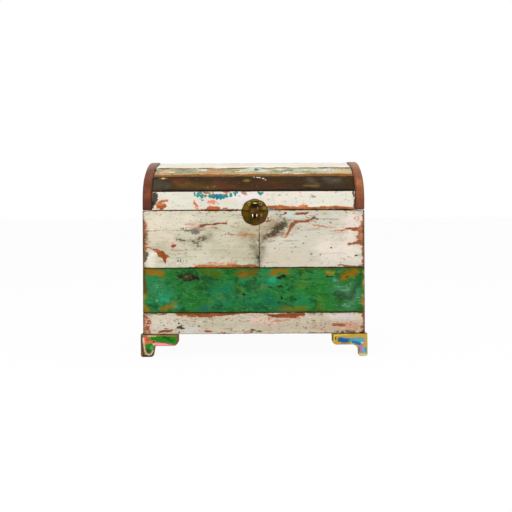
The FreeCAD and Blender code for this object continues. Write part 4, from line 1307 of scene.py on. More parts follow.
MIDDLE_MARKS = (
    stain((46, 136, 94), 0.7, 18, (-316, 86, 26), (-280, 50, 28)),
    stain((24, 112, 80), 0.4, 16, (-110, 36, 22), (20, 40, 20)),
    stain((58, 66, 26), 0.75, 3, (-346, 139.5, 2.4), (346, 139.5, 2.4)),
    stain((44, 60, 26), 0.6, 3, (-346, 1, 2), (346, 1, 2)),
    stain(OCHRE, 0.95, 5, (-336, 130, 8), (-310, 128, 9), (-292, 124, 7)),
    stain((164, 92, 4), 0.9, 5, (-312, 126, 6), (-296, 122, 6)),
    stain((30, 50, 30), 0.7, 5, (-228, 115, 9), (-180, 112, 9)),
    flecks(INK, 0.9, 4, (-228, 115, 8), (-206, 113, 9), (-180, 113, 7)),
    flecks((92, 66, 40), 0.7, 3, (-214, 114, 4), (-200, 115, 4)),
    flecks(INK, 0.7, 3, (-250, 109, 4), (-242, 110, 4)),
    flecks(INK, 0.7, 3, (-238, 126, 4), (-230, 124, 4)),
    flecks(INK, 0.6, 3, (-202, 92, 4), (-196, 90, 4)),
    stain((24, 70, 38), 0.8, 5, (-152, 108, 7), (-140, 108, 7)),
    stain((28, 88, 56), 0.7, 6, (-128, 94, 9), (-122, 84, 9)),
    stain((74, 92, 4), 0.9, 4, (-166, 130, 7), (-136, 126, 8), (-104, 120, 6)),
    stain((98, 82, 4), 0.95, 5, (-48, 122, 8), (-24, 120, 10), (6, 128, 8)),
    stain((156, 84, 8), 0.85, 4, (-36, 120, 5), (-26, 120, 5)),
    stain((50, 76, 38), 0.75, 6, (-14, 98, 8), (8, 80, 9)),
    flecks(INK, 0.65, 4, (-18, 102, 4), (0, 92, 4), (14, 80, 4)),
    soil_and_shade(INK, (-6, 64, 1.5), (14, 65, 2.6), strength=0.8),
    stain((90, 62, 26), 1, 3, (-349, 136, 5), (-347, 100, 6), (-346, 64, 6)),
    stain((160, 118, 6), 0.95, 4, (-345, 56, 4), (-343, 46, 4)),
    stain((146, 108, 4), 0.95, 5, (-346, 24, 5), (-338, 12, 7)),
    stain(OCHRE, 0.9, 5, (-286, 12, 6), (-270, 17, 8), (-250, 22, 7)),
    stain((34, 160, 122), 0.75, 5, (-284, 46, 7), (-272, 42, 7)),
    flecks((84, 156, 110), 0.6, 9, (-312, 84, 14), (-290, 64, 14), (-300, 36, 10)),
    stain((14, 108, 84), 0.65, 8, (-94, 72, 8), (-76, 76, 8)),
    stain((16, 120, 84), 0.6, 7, (-128, 62, 8), (-122, 72, 8)),
    stain((20, 92, 84), 0.8, 4, (-168, 13, 5), (-148, 13, 5)),
    stain((34, 150, 110), 0.6, 5, (-248, 20, 5), (-236, 16, 5)),
    flecks(INK, 0.7, 3, (-188, 34, 3), (-180, 33, 3)),
    flecks(INK, 0.75, 3, (-34, 57, 4), (-20, 56, 4)),
    flecks(INK, 0.75, 3, (-34, 42, 4), (-33, 34, 4)),
    flecks(INK, 0.7, 3, (-86, 12, 4), (-76, 10, 4)),
    stain(OCHRE, 0.95, 5, (64, 126, 7), (80, 130, 8), (104, 131, 7)),
    stain((150, 90, 6), 0.8, 4, (66, 126, 4), (74, 127, 4)),
    soil_and_shade((18, 22, 18), (79, 109, 5), (88, 112, 7), (97, 114, 4), soft=1.4),
    stain((34, 164, 128), 0.85, 3.5, (60, 105, 6), (70, 107, 6)),
    flecks(INK, 0.8, 3, (46, 82, 3), (58, 81, 3)),
    flecks(INK, 0.85, 3, (72, 86, 3), (88, 87, 4)),
    stain((146, 96, 12), 0.85, 4, (29, 80, 4), (33, 80, 4)),
    flecks(INK, 0.8, 3, (0, 65, 3), (20, 64, 4)),
    stain((10, 92, 70), 0.75, 8, (44, 40, 10), (56, 26, 12), (92, 14, 8)),
    flecks(INK, 0.8, 3, (66, 46, 3), (96, 43, 4), (138, 42, 2)),
    soil_and_shade(INK, (80, 28, 3), (94, 29, 3.4), soft=1.4),
    stain((100, 104, 6), 0.85, 4, (86, 8, 6), (124, 8, 6), (160, 9, 6)),
    stain((42, 124, 40), 0.6, 16, (210, 74, 14), (230, 48, 16)),
    stain((66, 132, 88), 0.65, 14, (264, 78, 18), (322, 66, 20), (300, 22, 18)),
    flecks((100, 156, 112), 0.6, 10, (266, 84, 20), (320, 60, 24), (290, 22, 20)),
    flecks((24, 60, 36), 0.8, 6, (258, 60, 10), (300, 40, 12), (328, 92, 10)),
    flecks(INK, 0.8, 3, (232, 109, 3), (248, 110, 4)),
    stain((158, 116, 6), 0.95, 4, (236, 123, 4), (250, 123, 4)),
    stain(OCHRE, 0.95, 5, (280, 112, 8), (294, 120, 9), (316, 130, 8)),
    stain((34, 150, 120), 0.7, 4, (252, 106, 4), (256, 104, 4)),
    stain((190, 138, 66), 1, 2.5, (349, 132, 5), (348, 84, 4), (349, 8, 5)),
    stain((150, 102, 38), 0.9, 3, (344, 44, 4), (345, 32, 4)),
    *[soil_and_shade((20, 58, 36), (x, up, 0.7), (x + 52, up + 1, 0.9), strength=0.75, tear=0.8)
      for x, up in ((-40, 88), (-14, 75), (20, 58), (60, 70), (-64, 46), (92, 93), (128, 102), (96, 43),
                    (152, 82))],
    *dabs(51, [INK, (20, 58, 34), (22, 70, 40), (62, 134, 84)], 240, (-340, 8), (340, 134), 2.4),
)
LOWER_MARKS = (
    flecks((134, 112, 88), 0.42, 14, (-300, 32, 26), (330, 32, 26)),
    stain((116, 76, 22), 1, 3, (-350, 66, 9), (-350, 2, 9)),
    stain((218, 208, 190), 0.7, 12, (-314, 36, 14), (-262, 36, 16)),
    stain((206, 204, 198), 0.75, 6, (-216, 14, 8), (-176, 14, 9)),
    stain((214, 207, 204), 0.85, 6, (246, 51, 8), (314, 50, 8)),
    stain((178, 166, 138), 0.5, 10, (-150, 32, 12), (-60, 30, 14)),
    stain((184, 162, 136), 0.6, 12, (10, 22, 14), (150, 22, 14)),
    stain((184, 150, 120), 0.7, 12, (200, 20, 14), (300, 22, 16), (346, 24, 18)),
    soil_and_shade((112, 82, 50), (-346, 65.5, 2), (-100, 66, 1.6), (346, 65.5, 2), strength=0.9, tear=0.5),
    run((150, 86, 40), (-240, 61.5, 7.2), (-150, 61, 7.2), (-80, 63, 5.2), (-20, 65, 3), tear=0.25,
        soft=1.3),
    soil_and_shade((104, 60, 28), (-236, 65, 2.2), (-60, 66, 1.8), tear=0.4),
    flecks((176, 112, 62), 0.6, 3, (-236, 57, 3), (-150, 56, 3), (-90, 58, 3)),
    run((146, 80, 44), (42, 63, 4), (70, 60, 7.6), (116, 58.5, 8.6), (158, 62, 4), soft=1.3, tear=0.6),
    flecks((210, 138, 110), 0.7, 4, (46, 48, 5), (104, 46, 6), (156, 52, 4)),
    stain((186, 118, 84), 0.6, 6, (-338, 58, 6), (-336, 30, 8), (-340, 6, 7)),
    flecks((160, 76, 48), 0.75, 5, (-338, 60, 6), (-333, 36, 9), (-337, 8, 8)),
    soil_and_shade(SOOT, *oval(-235, 32, 2.8, 3.4)),
    soil_and_shade((58, 60, 46), (-240, 20, 1.8), (-226, 21, 3.6), (-212, 20, 1.4)),
    soil_and_shade((66, 66, 50), (-226, 27, 1.2), (-226, 14, 1.2)),
    flecks(SOOT, 0.7, 3, (-244, 9, 4), (-236, 9, 3)),
    run((150, 88, 52), (-307, 9.5, 1.8), (-280, 12, 2.2), (-256, 17, 2.6)),
    run((168, 84, 58), (-151, 5, 2.2), (-132, 6, 2.2)),
    flecks((160, 88, 62), 0.7, 2, (-120, 3, 2.4), (-10, 3, 2.4)),
    stain(ROSE, 0.75, 6, (-6, 42, 8), (60, 38, 8)),
    flecks((74, 74, 52), 0.85, 3, (-8, 10, 4), (16, 9, 4)),
    *[soil_and_shade(GREY, *oval(161 + 7.5 * math.cos(turn), 27 + 7.5 * math.sin(turn), 1.6, 1.4), strength=0.85)
      for turn in (0.2, 0.9, 1.7, 2.5, 3.4, 4.3)],
    soil_and_shade(GREY, (168, 20, 1.2), (168, 13, 1.2)),
    soil_and_shade(SOOT, (225, 33, 1.5), (221, 14, 1.3)),
    stain((140, 132, 104), 0.75, 4, (184, 62, 4), (216, 61, 5)),
    flecks((104, 98, 72), 0.6, 3, (184, 62, 4), (216, 61, 4)),
    run((172, 88, 52), (250, 29, 3), (268, 28, 4.8), (287, 28, 3), tear=0.6),
    flecks((200, 112, 86), 0.7, 3, (288, 30, 4), (322, 34, 4)),
    *[run((196, 116, 92), (x, 36, 1.5), (x + 1, 14, 1.3), strength=0.85, tear=0.5)
      for x in range(292, 328, 7)],
    soil_and_shade((112, 66, 46), (176, 1.5, 2), (252, 1.5, 2), tear=0.5),
    flecks((96, 78, 56), 0.8, 3, (252, 4, 4), (300, 6, 5), (346, 6, 6)),
    blob((190, 84, 70), 344, 22, 4, 6),
    soil_and_shade((30, 24, 20), *oval(343, 7, 6, 3.6)),
    stain((224, 206, 150), 0.7, 3, (326, 58, 4), (346, 56, 4)),
    *dabs(61, [GREY, SOOT, RUST, (160, 120, 92)], 230, (-346, 4), (346, 62), 1.8),
)


@dataclass
class SubAssembly:
    """Pieces that belong together, and the shader groups that their finishes share."""

    effects: Effects


@dataclass
class FrontWall(SubAssembly):
    """The four boards of the front and what time did to them."""

    seeds: tuple[int, ...] = (3, 8, 5, 13)
    upper_left: Marks = UPPER_LEFT_MARKS
    upper_right: Marks = UPPER_RIGHT_MARKS
    middle: Marks = MIDDLE_MARKS
    lower: Marks = LOWER_MARKS

    def build(self) -> None:
        """Builds the four boards."""
        boards = (("upper_left", WHITE_PAINT, Slot.WHITE, self.upper_left, (False, True)),
                  ("upper_right", ROSY_PAINT, Slot.WHITE, self.upper_right, (True, False)),
                  ("middle", GREEN_PAINT, Slot.GREEN, self.middle, (False, False)),
                  ("lower", DULL_PAINT, Slot.WHITE, self.lower, (False, False)))
        for seed, (place, finish, slot, marks, butted) in zip(self.seeds, boards):
            Board(f"front_{place}_plank", Side.FRONT, finish, slot, marks=marks, seed=seed,
                  butted=butted).build(self.effects)


def scattered(seed: int, reach: float, width: float, colours: list[Screen], count: int) -> Marks:
    """Marks for a board of the sides or the back: chips at its edges and a few runs along its grain.

    Args:
        seed: of the draw.
        reach: half the length of the board, in millimetres.
        width: of the board.
        colours: what shows through.
        count: how many marks.

    Returns:
        The marks.
    """
    draw = random.Random(seed)
    marks = []
    for _ in range(count):
        x = draw.uniform(-reach, reach)
        at_edge = draw.random() < 0.6
        up = draw.choice((2.0, width - 2.0)) if at_edge else draw.uniform(0.15, 0.85) * width
        length = draw.uniform(20, 110) if at_edge else draw.uniform(4, 60)
        rise = 0.0 if at_edge else draw.uniform(-0.15, 0.15) * length
        thick = draw.uniform(2.5, 7.0) if at_edge else draw.uniform(1.2, 5.0)
        end = (x + length, up + rise, thick * draw.uniform(0.4, 1.3))
        marks.append(run(draw.choice(colours), (x, up, thick), end))
    return tuple(marks)


@dataclass
class HiddenWalls(SubAssembly):
    """The side and back walls, which carry the same paints."""

    first_seed: int = 21
    chips: int = 18
    spacing: float = 5 * MM
    boards: tuple[tuple[str, Side, PaintFinish, Slot], ...] = (
        ("left_lower", Side.LEFT, DARK_PAINT, Slot.DARK),
        ("left_middle", Side.LEFT, WHITE_PAINT, Slot.WHITE),
        ("left_upper", Side.LEFT, WHITE_PAINT, Slot.WHITE),
        ("right_lower", Side.RIGHT, MOTTLED_PAINT, Slot.PALE),
        ("right_middle", Side.RIGHT, GREEN_PAINT, Slot.GREEN),
        ("right_upper", Side.RIGHT, WHITE_PAINT, Slot.WHITE),
        ("back_lower", Side.BACK, WHITE_PAINT, Slot.WHITE),
        ("back_middle", Side.BACK, DARK_PAINT, Slot.DARK),
        ("back_upper", Side.BACK, GREEN_PAINT, Slot.GREEN),
    )

    def build(self) -> None:
        """Builds each board with marks of its own."""
        for seed, (place, side, finish, slot) in enumerate(self.boards, start=self.first_seed):
            node = f"{place}_plank"
            low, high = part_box(node)
            reach = max(high.x - low.x, high.y - low.y) / 2 / MM
            marks = scattered(seed, reach, (high.z - low.z) / MM, [ORANGE, BROWN, GREY, PINK], self.chips)
            Board(node, side, finish, slot, marks=marks, seed=seed, spacing=self.spacing).build(self.effects)


@dataclass(frozen=True)
class EndVarnish:
    """Reddish varnish on an end board, with painted shade low down and at both edges and a painted sheen on
    top.
    """

    wood: WoodFinish
    # painted light: lowest is the painted shade low down, edge the painted shade along both edges, and the
    # pale colour after edge a painted sheen on top
    lowest: Colour
    edge: Colour = rgb(80, 42, 32)
    painted_sheen: Colour = rgb(146, 124, 106)
    shade_up_to: Pair = (30 * MM, 100 * MM)
    sheen_from: Pair = (-10 * MM, 30 * MM)
    unevenness: float = 60 * MM
    # painted shade by depth from the outer face: from 6 mm out to the outer edge, and from 19 mm to 29 mm at
    # the inner edge, each with its strength
    edges: tuple[Spot, ...] = ((6 * MM, 0 * MM, 0.55), (19 * MM, 29 * MM, 0.6))

    def material(self, node: str, effects: Effects) -> Material:
        """The varnish, with its painted shade and painted sheen, as a material.

        Args:
            node: the board's solid.
            effects: the shared groups.

        Returns:
            The material.
        """
        make = Surface(f"{node}_varnish")
        vector = make.place()
        grain = make.group(effects.grain, Vector=vector)
        cloud = make.noise(vector, scale=26, detail=4, rough=0.6)
        depth, height = make.part(vector, "Y"), make.part(vector, "Z")
        colour = make.shade(self.wood.colour(make, grain), make.remap(cloud, 0.35, 0.65, 0.8, 1.1))
        base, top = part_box(node)[0].z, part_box(node)[1].z
        uneven = make.math("MULTIPLY_ADD", cloud, self.unevenness, height)
        # painted shade, darker towards the bottom of the board
        low = make.remap(uneven, base + self.shade_up_to[0], base + self.shade_up_to[1], 0.8, 0)
        colour = make.mix(low, colour, self.lowest)
        # painted shade along the outer edge and along the inner edge by the rail
        for start, end, amount in self.edges:
            colour = make.mix(make.remap(depth, start, end, 0, amount), colour, self.edge)
        # a pale painted sheen near the top
        dull = make.remap(uneven, top + self.sheen_from[0], top + self.sheen_from[1], 0, 0.75)
        colour = make.mix(dull, colour, self.painted_sheen)
        rough = make.remap(cloud, 0.3, 0.7, 0.42, 0.6)
        return make.dressed(colour, rough, 0.18, grain.outputs["Streak"], 0.4 * MM, 0.4)


# the last colour of each is the painted shade low down on that end board
LEFT_VARNISH = EndVarnish(WoodFinish(rgb(82, 37, 16), rgb(136, 72, 36)), rgb(66, 30, 18))
RIGHT_VARNISH = EndVarnish(WoodFinish(rgb(116, 62, 32), rgb(174, 105, 58)), rgb(106, 55, 38))
RAIL_MARKS = (
    stain((234, 226, 232), 0.7, 8, (-50, 44, 12), (0, 40, 12)),
    stain((224, 222, 206), 0.6, 8, (-270, 44, 12), (-200, 30, 14)),
    soil_and_shade((72, 62, 54), (-319, 54, 4), (-313, 42, 10), (-315, 26, 8), (-318, 14, 6), soft=1.6, tear=0.5),
    soil_and_shade((36, 28, 26), (-318, 22, 3), (-315, 17, 3.4)),
    flecks((150, 92, 60), 0.8, 3, (-300, 30, 4), (-296, 12, 4)),
    run((204, 120, 68), (-304, 17, 3.4), (-292, 24, 6.4), (-276, 29, 4), soft=1.4),
    run((186, 100, 54), (-300, 13, 4), (-288, 11, 4.6), (-280, 17, 4), soft=1.4),
    flecks((150, 200, 160), 0.8, 2, (-283, 54, 3), (-278, 49, 2)),
    flecks((140, 160, 130), 0.6, 3, (-214, 42, 4), (-206, 40, 4)),
    *[soil_and_shade((22, 140, 128), (x, top, half), (x + 3, bottom, half * 0.55), tear=0.6)
      for x, top, bottom, half in ((-190, 54, 48, 5), (-179, 50, 42, 6.4), (-167, 49, 40, 6.4),
                                   (-143, 49, 42, 6.4), (-76, 46, 42, 5.4), (-64, 52, 46, 5),
                                   (-57, 56, 52, 3.6))],
    *[soil_and_shade((20, 126, 132), (x, top, half), (x + 2, bottom, half * 0.6), tear=0.8)
      for x, top, bottom, half in ((-155, 46, 42, 5), (-132, 47, 41, 5.4), (-109, 45, 38, 5.2),
                                   (-99, 43, 39, 4.4), (-88, 45, 42, 4.6))],
    soil_and_shade((20, 108, 142), (-121, 47, 4.4), (-118, 40, 4), tear=0.8),
    run((172, 112, 74), (-158, 56, 2.6), (-144, 55, 3.6), (-130, 56, 2.6)),
    run((204, 112, 72), (-100, 56, 3.4), (-88, 53, 4.2), (-77, 57, 2.6)),
    run((212, 98, 66), (-186, 29, 2.4), (-184, 21, 4.2), (-178, 15, 2.8)),
    flecks((228, 136, 106), 0.95, 3, (-142, 27, 4), (-130, 27, 5)),
    blob((228, 152, 122), -177, 6, 7, 4.4),
    run((190, 104, 56), (-166, 4, 3), (-138, 7, 5.2), (-110, 6, 4.2), soft=1.4),
    run((150, 86, 50), (-112, 3, 3), (-56, 2, 1.6), (-30, 2, 1.4)),
    run((206, 150, 134), (-38, 55, 3.4), (-30, 51, 4.4)),
    flecks((120, 104, 98), 0.8, 2, (-34, 50, 3), (-26, 48, 3)),
    soil_and_shade((20, 128, 130), (12, 55, 3), (20, 50, 6.4), (30, 55, 2.4), tear=0.4),
    run((186, 110, 52), (44, 5, 4.8), (96, 5, 4.8), (150, 5.5, 5), tear=0.3),
    run((182, 108, 48), (150, 5.5, 5), (240, 5.5, 5), (320, 5.5, 5.4), tear=0.3),
    run((218, 134, 100), (146, 12, 2.6), (158, 13, 3.4), (172, 12, 2.4)),
    soil_and_shade((88, 60, 36), (40, 1.2, 1.8), (320, 1.2, 1.8), tear=0.4),
    # painted shade with some dirt, in the corner against the right end board
    soil_and_shade((84, 62, 36), (319, 56, 4), (319, 10, 4.4), soft=1.4, tear=0.5),
    flecks((150, 146, 136), 0.75, 2, (172, 38, 2.4), (198, 38, 2.4)),
    flecks((180, 170, 150), 0.3, 6, (60, 34, 16), (300, 38, 16)),
    *dabs(71, [GREY, SOOT, (140, 120, 100)], 60, (-300, 10), (-30, 54), 1.7),
    *dabs(72, [GREY, SOOT, (150, 110, 80)], 50, (40, 16), (312, 54), 1.7),
)
SHOULDER_MARKS = (
    stain((72, 66, 52), 0.8, 8, (-312, 32, 18), (-276, 26, 16)),
    stain((98, 44, 32), 0.75, 7, (-254, 48, 8), (-214, 44, 8)),
    stain((98, 70, 30), 0.75, 9, (-240, 26, 10), (-120, 22, 10)),
    stain((96, 50, 32), 0.75, 9, (-112, 34, 10), (-70, 24, 10)),
    flecks((150, 140, 108), 0.7, 2, (-148, 20, 2), (-122, 20, 2)),
    stain((150, 130, 34), 0.85, 3.4, (-26, 41, 3), (-18, 41, 3)),
    stain((122, 108, 26), 0.85, 3.2, (164, 18, 2.6), (206, 19, 3)),
    stain((84, 74, 62), 0.8, 9, (180, 46, 8), (200, 34, 9)),
    stain((84, 76, 66), 0.8, 9, (236, 52, 8), (272, 42, 10)),
    *[soil_and_shade((232, 222, 204), *oval(x, up, 3, 2.2))
      for x, up in ((1, 60), (10, 59), (18, 58), (29, 56), (36, 51))],
    soil_and_shade((104, 88, 50), (-300, 58, 3), (-274, 55, 3)),
    soil_and_shade((204, 182, 134), (-290, 58, 1.8), (-282, 55, 1.8)),
    soil_and_shade((28, 20, 12), (-270, 62, 1.6), (-190, 62, 1.6), tear=0.4),
    # painted shadow line along the lower edge, where the shoulder stave meets the rail
    soil_and_shade((28, 20, 12), (-321, 2, 3), (-270, 4, 4), (0, 4, 4.4), (321, 2, 3), tear=0.3),
    *dabs(73, [(120, 104, 76), (30, 22, 14), (104, 60, 36)], 50, (-310, 8), (310, 60), 1.8),
)
HAUNCH_MARKS = (
    stain((146, 124, 74), 0.7, 14, (-310, 40, 22), (-70, 40, 22)),
    stain((132, 132, 92), 0.85, 5, (-314, 48, 10), (-300, 46, 9)),
    flecks((216, 152, 122), 0.95, 4, (-300, 36, 7), (-286, 38, 7)),
    flecks((232, 218, 180), 0.9, 3, (-272, 44, 6), (-262, 42, 6)),
    stain((136, 148, 118), 0.8, 5, (-250, 46, 9), (-200, 46, 10)),
    flecks((110, 120, 122), 0.9, 3, (-238, 48, 5), (-224, 48, 5)),
    flecks((226, 230, 220), 0.95, 3, (-178, 48, 6), (-160, 48, 6)),
    stain((186, 128, 74), 0.85, 5, (-150, 38, 8), (-100, 40, 9)),
    flecks((200, 132, 84), 0.9, 3, (-146, 42, 6), (-110, 44, 7)),
    flecks((226, 206, 130), 0.9, 3, (-54, 40, 5), (-40, 42, 5)),
    stain((196, 206, 186), 0.8, 5, (-30, 48, 8), (-4, 46, 8)),
    flecks((70, 70, 62), 0.95, 3, (4, 48, 5), (12, 46, 5)),
    stain((186, 202, 186), 0.8, 4, (18, 48, 7), (36, 46, 7)),
    flecks((204, 134, 78), 0.95, 3, (46, 46, 5), (56, 48, 5)),
    flecks((228, 220, 180), 0.9, 3, (74, 50, 5), (90, 50, 5)),
    flecks((76, 84, 86), 0.95, 3, (106, 48, 5), (126, 46, 5)),
    stain((160, 176, 140), 0.75, 5, (140, 44, 8), (166, 44, 8)),
    flecks((222, 206, 140), 0.8, 3, (168, 50, 5), (186, 50, 5)),
    stain((200, 212, 188), 0.8, 5, (196, 46, 8), (230, 46, 8)),
    flecks((160, 172, 206), 0.95, 3, (246, 50, 5), (258, 50, 6)),
    flecks((214, 182, 104), 0.9, 3, (268, 44, 6), (284, 42, 6)),
    flecks((214, 158, 106), 0.95, 3, (292, 42, 6), (306, 42, 6)),
    run((150, 94, 34), (-322, 9, 9), (-120, 8, 9.5), (60, 9, 9), (322, 9, 9.5), tear=0.25),
    soil_and_shade((92, 58, 24), (-322, 1, 3), (322, 1, 3), tear=0.3),
    # painted shade line along the upper edge, in the gap below the crown stave
    soil_and_shade((112, 86, 42), (-322, 63, 3), (322, 63, 3), tear=0.3),
)
CROWN_MARKS = (
    # painted shade line along the lower edge, in the gap above the haunch stave
    soil_and_shade((112, 86, 44), (-322, 0, 3.4), (-60, 0, 3.4), (322, 0, 3.4), tear=0.1),
    stain((240, 238, 232), 0.9, 12, (-322, 20, 14), (-300, 24, 14)),
    stain((240, 238, 232), 0.9, 12, (300, 22, 14), (322, 20, 14)),
    stain((226, 232, 208), 0.6, 7, (40, 14, 8), (160, 14, 8)),
    stain((240, 218, 206), 0.6, 7, (-260, 14, 8), (-120, 12, 8)),
)


@dataclass
class Lid(SubAssembly):
    """The rails and staves between the arched end boards."""

    front_seed: int = 31
    back_seed: int = 41
    chip_seed: int = 71
    chips: int = 14
    half_length: float = 320
    stave_width: float = 60
    back_spacing: float = 5 * MM
    end_radius: float = 5 * MM
    end_back_radius: float = 3 * MM
    end_spacing: float = 9 * MM
    rail: Marks = RAIL_MARKS
    shoulder: Marks = SHOULDER_MARKS
    haunch: Marks = HAUNCH_MARKS
    crown: Marks = CROWN_MARKS

    def build(self) -> None:
        """Builds the rails and staves of both slopes, and the end boards."""
        rows = (("rail", RAIL_PAINT, Slot.WHITE, self.rail, RAIL_PAINT, Slot.WHITE),
                ("shoulder_stave", DARK_PAINT, Slot.DARK, self.shoulder, MOTTLED_PAINT, Slot.PALE),
                ("haunch_stave", MOTTLED_PAINT, Slot.PALE, self.haunch, CREAM_PAINT, Slot.WHITE),
                ("crown_stave", CREAM_PAINT, Slot.WHITE, self.crown, WHITE_PAINT, Slot.WHITE))
        for index, (name, finish, slot, marks, back_finish, back_slot) in enumerate(rows):
            upright = name == "rail"
            ahead = Side.FRONT if upright else Side.FRONT_SLOPE
            behind = Side.BACK if upright else Side.BACK_SLOPE
            Board(f"lid_front_{name}", ahead, finish, slot, Body.LID, marks,
                  self.front_seed + index).build(self.effects)
            others = scattered(self.chip_seed + index, self.half_length, self.stave_width,
                               [ORANGE, BROWN, GREY], self.chips)
            Board(f"lid_back_{name}", behind, back_finish, back_slot, Body.LID, others,
                  self.back_seed + index, spacing=self.back_spacing).build(self.effects)
        for node, side, finish in (("lid_end_left", Side.LEFT, LEFT_VARNISH),
                                   ("lid_end_right", Side.RIGHT, RIGHT_VARNISH)):
            SawnPiece(node, side, Slot.BROWN, Body.LID, self.end_radius, self.end_spacing,
                      self.end_back_radius).build(finish.material(node, self.effects))


@dataclass(frozen=True)
class FootPaint:
    """Fields of paint inside a border that follows the foot's outline."""

    ground: Colour
    border: Colour
    rim: Colour
    border_at: float
    rim_at: float
    fields: Marks = ()
    border_fade: float = 1.4
    rim_fade: float = 1.2

    def material(self, name: str, effects: Effects) -> Material:
        """The paint as a material; fields are in millimetres from the middle and up from the floor.

        Args:
            name: of the material.
            effects: the shared groups.

        Returns:
            The material.
        """
        make = Surface(name)
        vector = make.place()
        wear = make.group(effects.wear, Vector=vector).outputs["Wear"]
        streak = make.group(effects.grain, Vector=vector).outputs["Streak"]
        edge = make.add("ShaderNodeAttribute", attribute_name="rim").outputs["Fac"]
        edge = make.math("MULTIPLY_ADD", wear, 1.2 * MM, edge)
        blotch = make.remap(make.noise(vector, 60, 4, 0.6), 0.4, 0.62, 0, 0.3)
        colour = make.mix(blotch, self.ground, self.border)
        border = make.remap(edge, self.border_at * MM, (self.border_at + self.border_fade) * MM, 1, 0)
        colour = make.mix(border, colour, self.border)
        if self.fields:
            marked = make.group(effects.marked, Paint=colour, Fringe=self.border, Vector=vector,
                                Wear=make.math("MULTIPLY", wear, 0.3))
            colour = marked.outputs["Colour"]
        rim = make.remap(edge, self.rim_at * MM, (self.rim_at + self.rim_fade) * MM, 1, 0)
        colour = make.mix(rim, colour, self.rim)
        colour = make.shade(colour, make.remap(streak, 0.28, 0.72, 0.82, 1.08))
        rough = make.remap(streak, 0.2, 0.8, 0.5, 0.65)
        height = make.math("ADD", streak, make.math("MULTIPLY", wear, 0.3))
        return make.dressed(colour, rough, 0.12, height, 0.4 * MM)


FOOT_GREEN = (30, 126, 14)
FOOT_RED = (220, 100, 78)
CREAM_LINE = (230, 202, 168)
DARK_RIM = (92, 58, 46)
LEFT_FOOT_FIELDS = (
    brush((136, 110, 54), (-344, 67.5, 3.4), (-246, 67.5, 3.4)),
    brush((214, 186, 142), (-334, 66, 2), (-308, 65, 2)),
    brush(DARK_RIM, (-351.5, 64, 2.8), (-351, 30, 3.2), (-348, 6, 4.5)),
    brush((76, 52, 42), (-348, 3.5, 4.6), (-322, 3.5, 4.6)),
    brush(DARK_RIM, (-321, 5, 3), (-315, 15, 2.6), (-312, 29, 2)),
    brush((240, 200, 186), (-348, 60, 2), (-347, 44, 2)),
    brush(FOOT_RED, (-342, 60, 5), (-340, 50, 5.6), (-332, 60, 4)),
    brush((212, 112, 72), (-341, 45, 4.4), (-320, 46, 4.2)),
    brush((42, 124, 30), (-335, 33, 7.6), (-324, 33, 8.6)),
    brush((42, 124, 30), (-331, 27, 10), (-327, 20, 9), (-329, 15, 7)),
    brush((78, 164, 84), (-322, 32, 4), (-322, 26, 3.4)),
    brush((58, 88, 38), (-335, 22, 5.4), (-330, 18, 5), soft=2.6),
    brush(CREAM_LINE, (-346.4, 58, 1.4), (-345.7, 39, 1.6), (-343, 20.5, 1.6), (-339.3, 11, 1.6)),
    brush(CREAM_LINE, (-339.3, 11, 1.6), (-331.5, 7.4, 1.6), (-323, 9.5, 1.6), (-317.3, 20.5, 1.4)),
    brush((250, 206, 206), (-314, 40, 3.6), (-308, 40, 3.4)),
    brush((244, 148, 156), (-309, 40.5, 5), (-290, 39.5, 5), (-270, 37.5, 4.4), (-254, 36.5, 3)),
    brush(FOOT_GREEN, (-322, 58.5, 5.4), (-304, 57, 7.8), (-282, 55.5, 9.8)),
    brush(FOOT_GREEN, (-282, 55.5, 9.8), (-262, 53, 11.8), (-249, 52.5, 10.6)),
    brush((16, 78, 26), (-284, 62, 2.4), (-268, 60.5, 3), soft=2),
    brush((14, 92, 30), (-272, 55, 3.4), (-258, 51, 4), soft=2.4),
    brush((116, 66, 48), (-307, 47.5, 1.2), (-279, 44.4, 1.2), (-268, 40.6, 1.2), (-252, 38.6, 1.2)),
    brush((112, 92, 50), (-242, 66, 3), (-240, 52, 2.8), (-246, 42, 2.4)),
    brush((134, 66, 46), *oval(-335, 55, 4, 3.6), soft=1.6),
    brush((126, 108, 54), *oval(-328, 58, 4, 3.4), soft=1.6),
    brush((34, 28, 18), *oval(-333.5, 21, 2.6, 2.6)),
    brush((38, 22, 18), *oval(-315, 47.5, 2.8, 2.8)),
)
LEFT_FOOT = FootPaint(ground=rgb(150, 122, 64), border=rgb(138, 110, 58), rim=rgb(104, 72, 48),
                      border_at=2.4, rim_at=0.8, fields=LEFT_FOOT_FIELDS)
